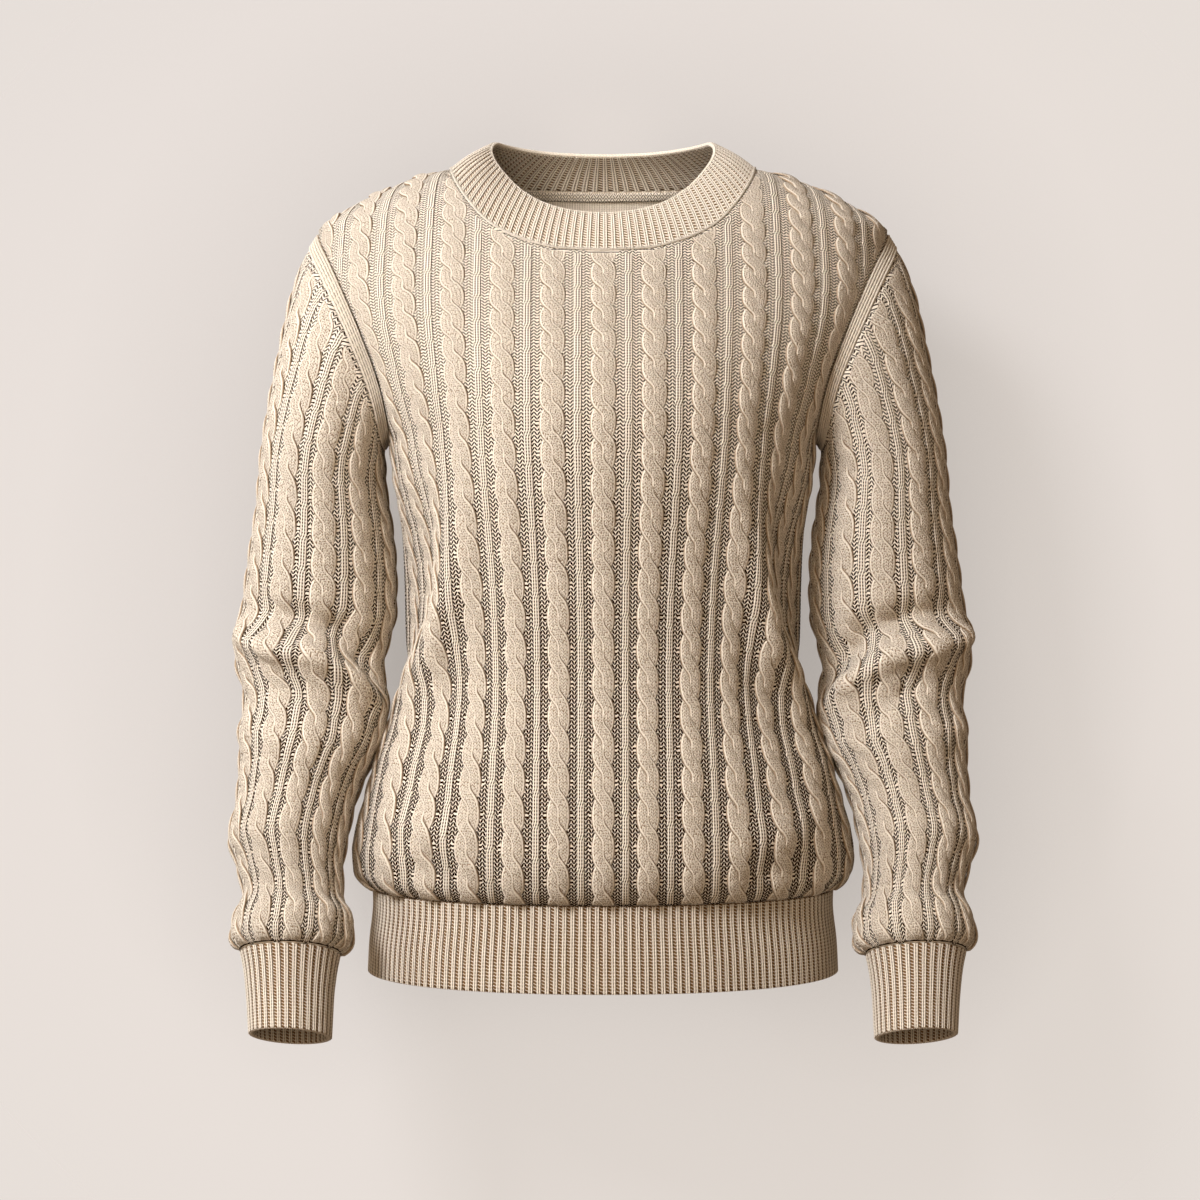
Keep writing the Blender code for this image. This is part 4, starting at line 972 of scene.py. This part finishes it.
LIGHT_YARN = (0.885, 0.785, 0.64, 1)
# painted shade: the dark colours that stitch gaps, purl holes and rib grooves are mixed towards; the fleck
# colour also gives the cable strands their random dark flecks
PAINTED_GAP_SHADE = (0.06, 0.024, 0.007, 1)
FLECK_AND_PAINTED_SHADE = (0.27, 0.155, 0.07, 1)
BAR_YARN = (0.87, 0.765, 0.62, 1)
PAINTED_HOLE_SHADE = (0.022, 0.008, 0.002, 1)
PAINTED_GROOVE_SHADE = (0.17, 0.094, 0.043, 1)
FUZZ_DEPTH = 0.00025
NAP = 0.22


def knit_material(name, stitch, depth, gap=1.0, light=LIGHT_YARN, dark=PAINTED_GAP_SHADE, **values):
    """A yarn material with a stitch pattern from its own group on the piece's flat places."""
    material = bpy.data.materials.new(name)
    material.use_nodes = True
    tree = material.node_tree
    shader = tree.nodes["Principled BSDF"]
    flat = put(tree, "ShaderNodeUVMap", uv_map="UVMap")
    pattern = put(tree, "ShaderNodeGroup", Vector=flat, node_tree=GROUPS[stitch], **values)
    height, hollow = (Num(tree, pattern.outputs[title]) for title in ("Height", "Gap"))
    # the yarn's colour is mixed towards its dark colour by Gap: painted shade in the gaps between stitches
    yarn = put(tree, "ShaderNodeGroup", light, dark, hollow * gap, node_tree=GROUPS["yarn"])
    # down in the gaps, where shade is painted, the yarn has neither nap nor shine
    surface = (1.0 - hollow) * NAP
    height = height * depth + Num(tree, yarn.outputs["Fuzz"]) * FUZZ_DEPTH
    bump = put(tree, "ShaderNodeBump", Height=height, Strength=1.0, Distance=1.0)
    for title, value in (
        ("Base Color", yarn),
        ("Roughness", 0.88),
        ("Sheen Roughness", 0.5),
        ("Sheen Weight", surface),
        ("Specular IOR Level", surface),
        ("Normal", bump),
    ):
        feed(tree, shader.inputs[title], value)
    return material


SLEEVE_PITCH = SLEEVE_ROUND / SLEEVE_COLUMNS
PURL = dict(depth=0.0002, light=BAR_YARN, dark=PAINTED_HOLE_SHADE, Ladder=1.0)
RIB_PURL = dict(depth=0.0001, light=BAR_YARN, dark=PAINTED_GROOVE_SHADE, Hole=0.42, Row_Height=2.3, Slant=0.5)
YARNS = {
    "cable": knit_material("cable_yarn", "brushed strand", 0.0008, 0.8, dark=FLECK_AND_PAINTED_SHADE),
    "mini": knit_material("mini_rib_yarn", "rib wales", 0.0004, Wale_Width=1.95, Twist=1.0, Line=0.45),
    "ground": knit_material("purl_ground", "purl ground", **PURL),
    "sleeve_ground": knit_material(
        "sleeve_ground", "purl ground", Column_Pitch=SLEEVE_PITCH, Hole=0.38, Slack=0.75, **PURL
    ),
    "inside": knit_material(
        "inside_knit", "stocking stitch", 0.0004, dark=FLECK_AND_PAINTED_SHADE, Wale_Width=2.6, Row_Height=2.3
    ),
    "rib": knit_material("rib_yarn", "rib wales", 0.0004, 0.7, Wale_Width=1.74, Shift=0.0),
    "rib_ground": knit_material("rib_ground", "purl ground", Bar_Width=RIB_PITCH / 2, **RIB_PURL),
    "seam": knit_material("seam_yarn", "stocking stitch", 0.0003, 0.4, Wale_Width=1.6, Row_Height=2.4),
    "tape": knit_material("tape_yarn", "purl ground", 0.0004, 0.8, Bar_Width=2.4, Slant=1.4),
}


# Camera, lights and floor

PICTURE_SIZE = 1200
VIEW_DISTANCE = 1.756
VIEW_HEIGHT = -0.300
MM_PER_POINT = 0.74
WALL_Y = 0.14
WALL_GLOW = 0.94
WALL_COLOUR = (0.15, 0.14, 0.135, 1)
STAGE_COLOUR = (0.79, 0.735, 0.69, 1)
STAGE_WARM = (0.79, 0.6, 0.44, 1)
KEY_PLACE = (-1.08, -1.36, 0.85)
KEY_POWER = 49.0
LAMPS = (
    # name, place, size, power, colour
    ("key", KEY_PLACE, 0.6, KEY_POWER, (0.96, 0.985, 1.05)),
    ("side", (-2.0, -0.5, 0.2), 0.9, 14, (1.0, 0.99, 0.97)),
    ("back", (-0.9, 1.9, 0.9), 1.2, 26, (1.0, 0.97, 0.93)),
    ("low", (-0.3, -2.0, -0.35), 1.0, 8.5, (1.0, 0.8, 0.6)),
)


def stage_material(name):
    """A material for the stage with no surface yet: (material, its tree, whether the camera sees it)."""
    material = bpy.data.materials.new(name)
    material.use_nodes = True
    tree = material.node_tree
    tree.nodes.remove(tree.nodes["Principled BSDF"])
    return material, tree, read(tree, "ShaderNodeLightPath", "Is Camera Ray")


def staged(name, points, faces, material):
    mesh = bpy.data.meshes.new(name)
    mesh.from_pydata(points, [], faces)
    mesh.materials.append(material)
    mesh.shade_smooth()
    linked(name, mesh)


def floor():
    """A round floor that sweeps up into a wall on all sides."""
    material, tree, seen = stage_material("pale_stage")
    # it is evenly lit to the eye, and gives the garment only a little light
    colour = colour_between(tree, seen, STAGE_WARM, STAGE_COLOUR)
    glow = put(tree, "ShaderNodeEmission", Color=colour, Strength=seen * 0.72 + 0.28)
    feed(tree, tree.nodes["Material Output"].inputs["Surface"], glow)
    low, reach, bend, high, around = -1.3, 5.0, 1.6, 4.0, 64
    turns = np.linspace(0, math.pi / 2, 13)[1:]
    radii = np.concatenate([[0.05, reach - bend], reach - bend + bend * np.sin(turns), [reach]])
    heights = np.concatenate([[low, low], low + bend - bend * np.cos(turns), [high]])
    angles = np.arange(around) * 2 * math.pi / around
    points = [(r * math.cos(a), r * math.sin(a), z) for r, z in zip(radii, heights) for a in angles]
    faces = [tuple(range(around))]
    for k in range(0, around * (len(radii) - 1), around):
        ends = [(i, (i + 1) % around) for i in range(around)]
        faces += [(k + i, k + around + i, k + around + j, k + j) for i, j in ends]
    staged("floor", points, faces, material)


def backdrop():
    """A near wall that only the camera sees, with the garment's soft shade close behind it: real shadow on
    its diffuse part and painted shade in its glow.
    """
    material, tree, seen = stage_material("near_wall")
    x, _, z = parts_of(tree, read(tree, "ShaderNodeTexCoord", "Object"))
    away = (x * x + (z + 0.3) * (z + 0.3)).op("SQRT")
    # seen from behind or nearly from its side the wall fades out
    behind = read(tree, "ShaderNodeNewGeometry", "Backfacing")
    edge_on = read(tree, "ShaderNodeLayerWeight", "Facing", Blend=0.5)
    shown = away.between(0.5, 0.85, 1.0, 0.0) * edge_on.between(0.55, 0.85, 1.0, 0.0) * (1.0 - behind) * seen
    # the glow makes up for the key lamp's fall-off across the wall
    ends = vector_of(tree, x, WALL_Y, z), KEY_PLACE
    distance = read(tree, "ShaderNodeVectorMath", "Value", *ends, operation="DISTANCE")
    lit = (WALL_Y - KEY_PLACE[1]) * KEY_POWER / math.pi**2 * WALL_COLOUR[0] / STAGE_COLOUR[0]
    strength = (WALL_GLOW - lit * distance.op("POWER", -3.0)).op("MAXIMUM", 0.0)
    # painted shadow: the glow dims where the garment closes in around the wall
    open_share = read(tree, "ShaderNodeAmbientOcclusion", "AO", Distance=0.22, samples=8)
    strength = seen * strength * (open_share * 0.5 + 0.5)
    glow = put(tree, "ShaderNodeEmission", Color=STAGE_COLOUR, Strength=strength)
    both = put(tree, "ShaderNodeAddShader", glow, put(tree, "ShaderNodeBsdfDiffuse", WALL_COLOUR))
    mixed = put(tree, "ShaderNodeMixShader", shown, put(tree, "ShaderNodeBsdfTransparent"), both)
    feed(tree, tree.nodes["Material Output"].inputs["Surface"], mixed)
    corners = [(x, WALL_Y, z) for x, z in ((-0.9, -1.2), (0.9, -1.2), (0.9, 0.6), (-0.9, 0.6))]
    staged("backdrop", corners, [(0, 1, 2, 3)], material)


def lamp(name, place, power, colour, kind="AREA", aim=(0, 0, -0.3), **settings):
    light = bpy.data.lights.new(name, kind)
    light.energy = power
    light.color = colour
    for key, value in settings.items():
        setattr(light, key, value)
    obj = linked(name, light)
    obj.location = place
    obj.rotation_euler = (Vector(place) - Vector(aim)).to_track_quat("Z", "Y").to_euler()


def studio():
    camera = linked("camera", bpy.data.cameras.new("camera"))
    camera.data.sensor_width = 36.0
    camera.data.lens = 36.0 * VIEW_DISTANCE * 1000 / MM_PER_POINT / PICTURE_SIZE
    camera.location = (-0.0022, -VIEW_DISTANCE, VIEW_HEIGHT)
    camera.rotation_euler = (math.pi / 2, 0, 0)
    camera.data.clip_end = 50
    bpy.context.scene.camera = camera
    floor()
    backdrop()
    for name, place, size, power, colour in LAMPS:
        lamp(name, place, power, colour, size=size)
    # a narrow beam over the front of the neckband lights the inside of its back
    narrow = dict(spot_size=math.radians(5.5), spot_blend=1.0, shadow_soft_size=0.03)
    lamp("beam", (0, -1.6, 0.06), 50, (1.0, 0.93, 0.85), "SPOT", (0, 0.05, 0.03), **narrow)
    world = bpy.data.worlds.new("studio")
    world.use_nodes = True
    world.node_tree.nodes["Background"].inputs[0].default_value = (1.0, 0.76, 0.53, 1)
    world.node_tree.nodes["Background"].inputs[1].default_value = 0.35
    bpy.context.scene.world = world
    bpy.context.scene.view_settings.view_transform = "Standard"


# Knitted pieces

ROPE = dict(Sway=4.1, Lift=1.1, Base=0.1, Width=10.4, Rise=1.8, Around=8)
ROPE_POINTS = 10  # along each crossing pitch
MINI_RIB = dict(Width=5.8, Rise=1.0, Groove=0.2, Around=9)
MINI_RIB_STEP = 5.0
RIB = dict(First_Column=0.25, Start=0.4, Width=RIB_PITCH * 0.6, Groove=0.5, Around=9)
RIB_STEP = 5.5
RIDGE = dict(First_Column=0.6, Width=2.1, Rise=1.1, Around=7, Points=200)


def raised_columns(name, yarn, count, pitch, length, **values):
    values = dict(values, Columns=count, Column_Pitch=pitch, Length=length, Material=YARNS[yarn])
    return grown(name, "raised columns", **values)


def cables(name, form, outline, pitch, length, ropes, minis):
    """The cables of a piece and the mini ribs between them, each given by its count, first column and fit."""
    rope = dict(ROPE, Points=int(length / CROSSING_PITCH * ROPE_POINTS) + 1)
    fitted = []
    # a cable is two strands that cross at every pitch
    for yarn, (count, first, fit), values in (
        ("cable", ropes, dict(rope, Phase=0.0)),
        ("cable", ropes, dict(rope, Phase=math.pi)),
        ("mini", minis, dict(MINI_RIB, Points=int(length / MINI_RIB_STEP))),
    ):
        mesh = raised_columns(name, yarn, count, pitch, length, First_Column=first, **values)
        fitted.append(wrapped(mesh, form, outline, **fit))
    strands = joined(name, fitted[:2])
    return [piece(name + "_cables", strands), piece(name + "_mini_ribs", fitted[2])]


def sheet_area(grid):
    """Area of a grid of points in square metres."""
    turned = np.cross(np.diff(grid, axis=0)[:, :-1], np.diff(grid, axis=1)[:-1])
    return float(np.linalg.norm(turned, axis=2).sum()) / 1e6


def cloth(name, ground, grid, width, tall):
    """The ground of a knitted piece, which stands in for the part of its name; its flat cut in m and covered
    share are worked out but not kept.
    """
    wall = piece(name + "_ground", ground, [name])
    flat = (round(width / 1000, 4), round(tall / 1000, 4))
    share = min(1.0, sheet_area(grid) / (width * tall / 1e6))
    round(flat[0] * flat[1] * share, 5)


def body_panel(name, panel):
    form = panel.form()
    # the outline: hem, one side up to the neck, the neck seam, and down the other side
    side = np.stack([panel.end_u, panel.on(panel.t, panel.end_u, panel.z)], 1)
    neck_u, neck_z = panel.neck_line()
    neck = np.stack([neck_u, panel.on(panel.t, neck_u, neck_z)], 1)[::-1]
    outline = np.concatenate([[[-1, 0]], side[::4], neck[1:-1], (side * [-1, 1])[::-4]]) * [FLAT_HALF, 1]
    rows = knit_rows()
    length = float(np.interp(panel.t.max(), *rows))
    ropes = (13, -6.0, dict(rows=rows, hem=4.0, fade=26.0))
    minis = (14, -6.5, dict(rows=rows, fade=16.0))
    extra = cables(name, form, outline, COLUMN_PITCH, length, ropes, minis)
    # the ground wall: rows share out the height under the neck and shoulder line
    a = np.linspace(-1, 1, 151)
    top = np.interp(a, neck_u / np.interp(neck_z, panel.z, panel.end_u), neck_z)
    z = HEM_Z + np.linspace(0, 1, 131)[None, :] * (top[:, None] - HEM_Z)
    u = a[:, None] * np.interp(z, panel.z, panel.end_u)
    outer = panel.at(u, z) + [0, panel.side * SEAM_GAP / 2, 0]
    s, t = -panel.side * u * FLAT_HALF, np.interp(panel.on(panel.t, u, z), *rows)
    if panel.side > 0:
        outer, s, t = outer[::-1], s[::-1], t[::-1]
    ground = shell(name, outer, inset(outer), s, t, (YARNS["ground"], YARNS["inside"]))
    cloth(name, ground, outer, 2 * FLAT_HALF, float(panel.t.max()))
    return form


def sleeve_piece(name, sleeve, sign):
    form = sleeve.form(sign)
    s = np.linspace(0, SLEEVE_ROUND, 121)
    psi = arm_angle(s, sign)
    top = sleeve.top(psi) - band_width(psi) - SEAM_GAP
    # past the underarm seam the outline runs on, because the knit closes there
    past = 20
    outline = np.concatenate([[[-past, 0], [SLEEVE_ROUND + past, 0]], np.stack([s, top], 1)[::-1]])
    outline[2, 0] += past
    outline[-1, 0] -= past
    ropes, minis = (SLEEVE_COLUMNS, 0.5, dict(fade=34.0)), (SLEEVE_COLUMNS, 0.0, {})
    extra = cables(name, form, outline, SLEEVE_PITCH, top.max(), ropes, minis)
    s, t = s[:, None], top[:, None] * np.linspace(0, 1, 111)
    outer = form.place(s, t, 0.0)
    yarns = (YARNS["sleeve_ground"], YARNS["inside"])
    ground = shell(name, outer, form.place(s, t, -WALL), s + SLEEVE_PITCH / 2, t, yarns, closed=True)
    cloth(name, ground, outer, SLEEVE_ROUND, float(top.max()))
    return form


def band_form(grid, length, tall):
    return Form(np.linspace(0, length, len(grid)), np.linspace(0, tall, grid.shape[1]), grid, closed=True)


def band(name, slot, outer, inner, length, tall, inside, extra):
    """The ground of a closed band between its outer and inner grids of points."""
    flat = np.linspace(0, length, len(outer))[:, None], np.linspace(0, tall, outer.shape[1])
    ground = shell(name, outer, inner, *flat, (YARNS["rib_ground"], YARNS[inside]), closed=True)
    cloth(name, ground, outer, length, tall)


def ribbed_band(name, outer, inner, ribs, tall, extra=()):
    """A band ribbed on both faces."""
    length = ribs * RIB_PITCH
    faces = []
    for grid, rise in ((outer, 1.15), (inner[::-1], 0.8)):
        rib = dict(RIB, Rise=rise, Points=int(tall / RIB_STEP))
        raised = raised_columns(name, "rib", ribs, RIB_PITCH, tall - 2 * RIB["Start"], **rib)
        faces.append(wrapped(raised, band_form(grid, length, tall)))
    raised = piece(name + "_ribs", joined(name, faces))
    band(name, "rib_knit", outer, inner, length, tall, "rib_ground", [raised, *extra])


def even_loop(ring, count):
    run = run_length(ring)
    return at_run(ring, run, np.linspace(0, run[-1], count))


def hem_grid():
    z, half, front, back = (v[::-1] for v in columns_of(HEM_SECTIONS))
    angle = np.linspace(0, 2 * math.pi, 721)
    power = 2 / SECTION_POWER
    rings = []
    for level in np.linspace(z[0], HEM_Z - SEAM_GAP, 16):
        a, f, b = (float(smooth_interp(level, z, v)) for v in (half, front, back))
        reach = np.where(np.cos(angle) > 0, f + SIDE_Y, b - SIDE_Y)
        x = a * np.sign(np.sin(angle)) * np.abs(np.sin(angle)) ** power
        y = SIDE_Y - reach * np.sign(np.cos(angle)) * np.abs(np.cos(angle)) ** power
        rings.append(even_loop(np.stack([x, y, np.full(len(x), level)], 1), 2 * HEM_RIBS + 1))
    return np.stack(rings, 1)


def cuff_grid(sleeve, sign):
    wrist = Sleeve(CUFF_RINGS, whole_lean=True)
    psi = arm_angle(np.linspace(0, SLEEVE_ROUND, 4 * CUFF_RIBS + 1), sign)
    way = unit(wrist.points[40] - wrist.points[0])
    # the top of the cuff meets the sleeve's end, and the cuff takes its own shape below
    shift = at_run(sleeve.points[-1] - wrist.points[0] + way * SEAM_GAP, sleeve.psi, psi)
    rings = []
    for row in range(240, -1, -16):
        down = np.interp(psi, sleeve.psi, wrist.t[0] - wrist.t[row])
        fade = np.clip(1 - down / 16, 0, 1)[:, None] ** 1.5
        rings.append((at_run(wrist.points[row], sleeve.psi, psi) + shift * fade) * [sign, 1, 1])
    return np.stack(rings, 1)


def neck_grids(neck):
    """The outer and inner faces of the neckband, from its seam up to its rim."""
    angle = np.linspace(0, 2 * math.pi, 4 * NECK_RIBS + 1)
    seam, rim = neck.seam(angle), neck.rim(angle)
    seam = seam + unit(rim - seam) * SEAM_GAP
    low_way, high_way = neck.outward(angle)
    outer, inner = [], []
    for f in np.linspace(0, 1, 13):
        way = unit(low_way * (1 - f) + high_way * f)
        outer.append(seam * (1 - f) + rim * f + way * 1.6 * math.sin(math.pi * f))
        inner.append(outer[-1] - way * WALL)
    return np.stack(outer, 1), np.stack(inner, 1)


def cord(loop, **values):
    """A cord along a closed loop of points, in mm."""
    line = bpy.data.meshes.new("line")
    count = len(loop) - 1
    line.from_pydata(loop[:-1].tolist(), [(i, (i + 1) % count) for i in range(count)], [])
    mesh = grown("cord", "linking cord", line, Material=YARNS["seam"], **values)
    set_points(mesh, points_of(mesh) * 0.001)
    return mesh


def armhole_band(name, sleeve, form, sign):
    s = np.linspace(0, SLEEVE_ROUND, 281)
    psi = arm_angle(s, sign)
    width = band_width(psi)[:, None]
    down = width - np.linspace(0, 1, 9) * (width - SEAM_GAP)
    outer = form.place(s[:, None], sleeve.top(psi)[:, None] - down, 0.0)
    ridges = raised_columns(name, "seam", 5, BAND_WIDTH / 5.2, ARMHOLE_ROUND, **RIDGE)
    p = points_of(ridges)
    set_points(ridges, np.stack([p[:, 1], BAND_WIDTH - p[:, 0], p[:, 2]], 1))
    wrapped(ridges, band_form(outer, ARMHOLE_ROUND, BAND_WIDTH))
    raised = piece(name + "_ridges", ridges)
    inner = inset(outer, closed=True)
    band(name, "band_knit", outer, inner, ARMHOLE_ROUND, BAND_WIDTH, "inside", [raised])


def neck_tape(panel, form):
    u, z = panel.neck_line()
    u, z = u[5:-5][::-1], z[5:-5][::-1]
    down = np.linspace(1.5 + TAPE_WIDTH, 1.5, 5)
    s, t = -u[:, None] * FLAT_HALF, panel.on(panel.t, u, z)[:, None] - down
    near, far = (form.place(s, t, -WALL - depth) for depth in (0.45, 1.3))
    strip = shell("neck_tape", near, far, s, t, (YARNS["tape"], YARNS["tape"]))
    return piece("neck_tape_strip", strip, ["neck_tape"])


def main():
    front, back = Panel(-1), Panel(1)
    sleeve = Sleeve(SLEEVE_RINGS)
    body_panel("front_panel", front)
    back_form = body_panel("back_panel", back)
    for side, sign in (("right", -1), ("left", 1)):
        form = sleeve_piece("sleeve_" + side, sleeve, sign)
        armhole_band("armhole_band_" + side, sleeve, form, sign)
        cuff = cuff_grid(sleeve, sign)
        ribbed_band("cuff_" + side, cuff, inset(cuff, closed=True), CUFF_RIBS, CUFF_TALL)
    hem = hem_grid()
    ribbed_band("hem_band", hem, inset(hem, closed=True), HEM_RIBS, HEM_TALL)
    outer, inner = neck_grids(Neck(front, back))
    tape = neck_tape(back, back_form)
    rim = cord((outer[:, -1] + inner[:, -1]) / 2, Radius=1.5, Bead=0.05, Around=10)
    seam = cord(outer[:, 0] + 0.4 * unit(outer[:, 0] - inner[:, 0]), Radius=1.0, Bead=0.3)
    edges = piece("neck_seam_cord", joined("neck_cord", [rim, seam]))
    ribbed_band("neckband", outer, inner, NECK_RIBS, NECK_TALL, (tape, edges))


studio()
main()
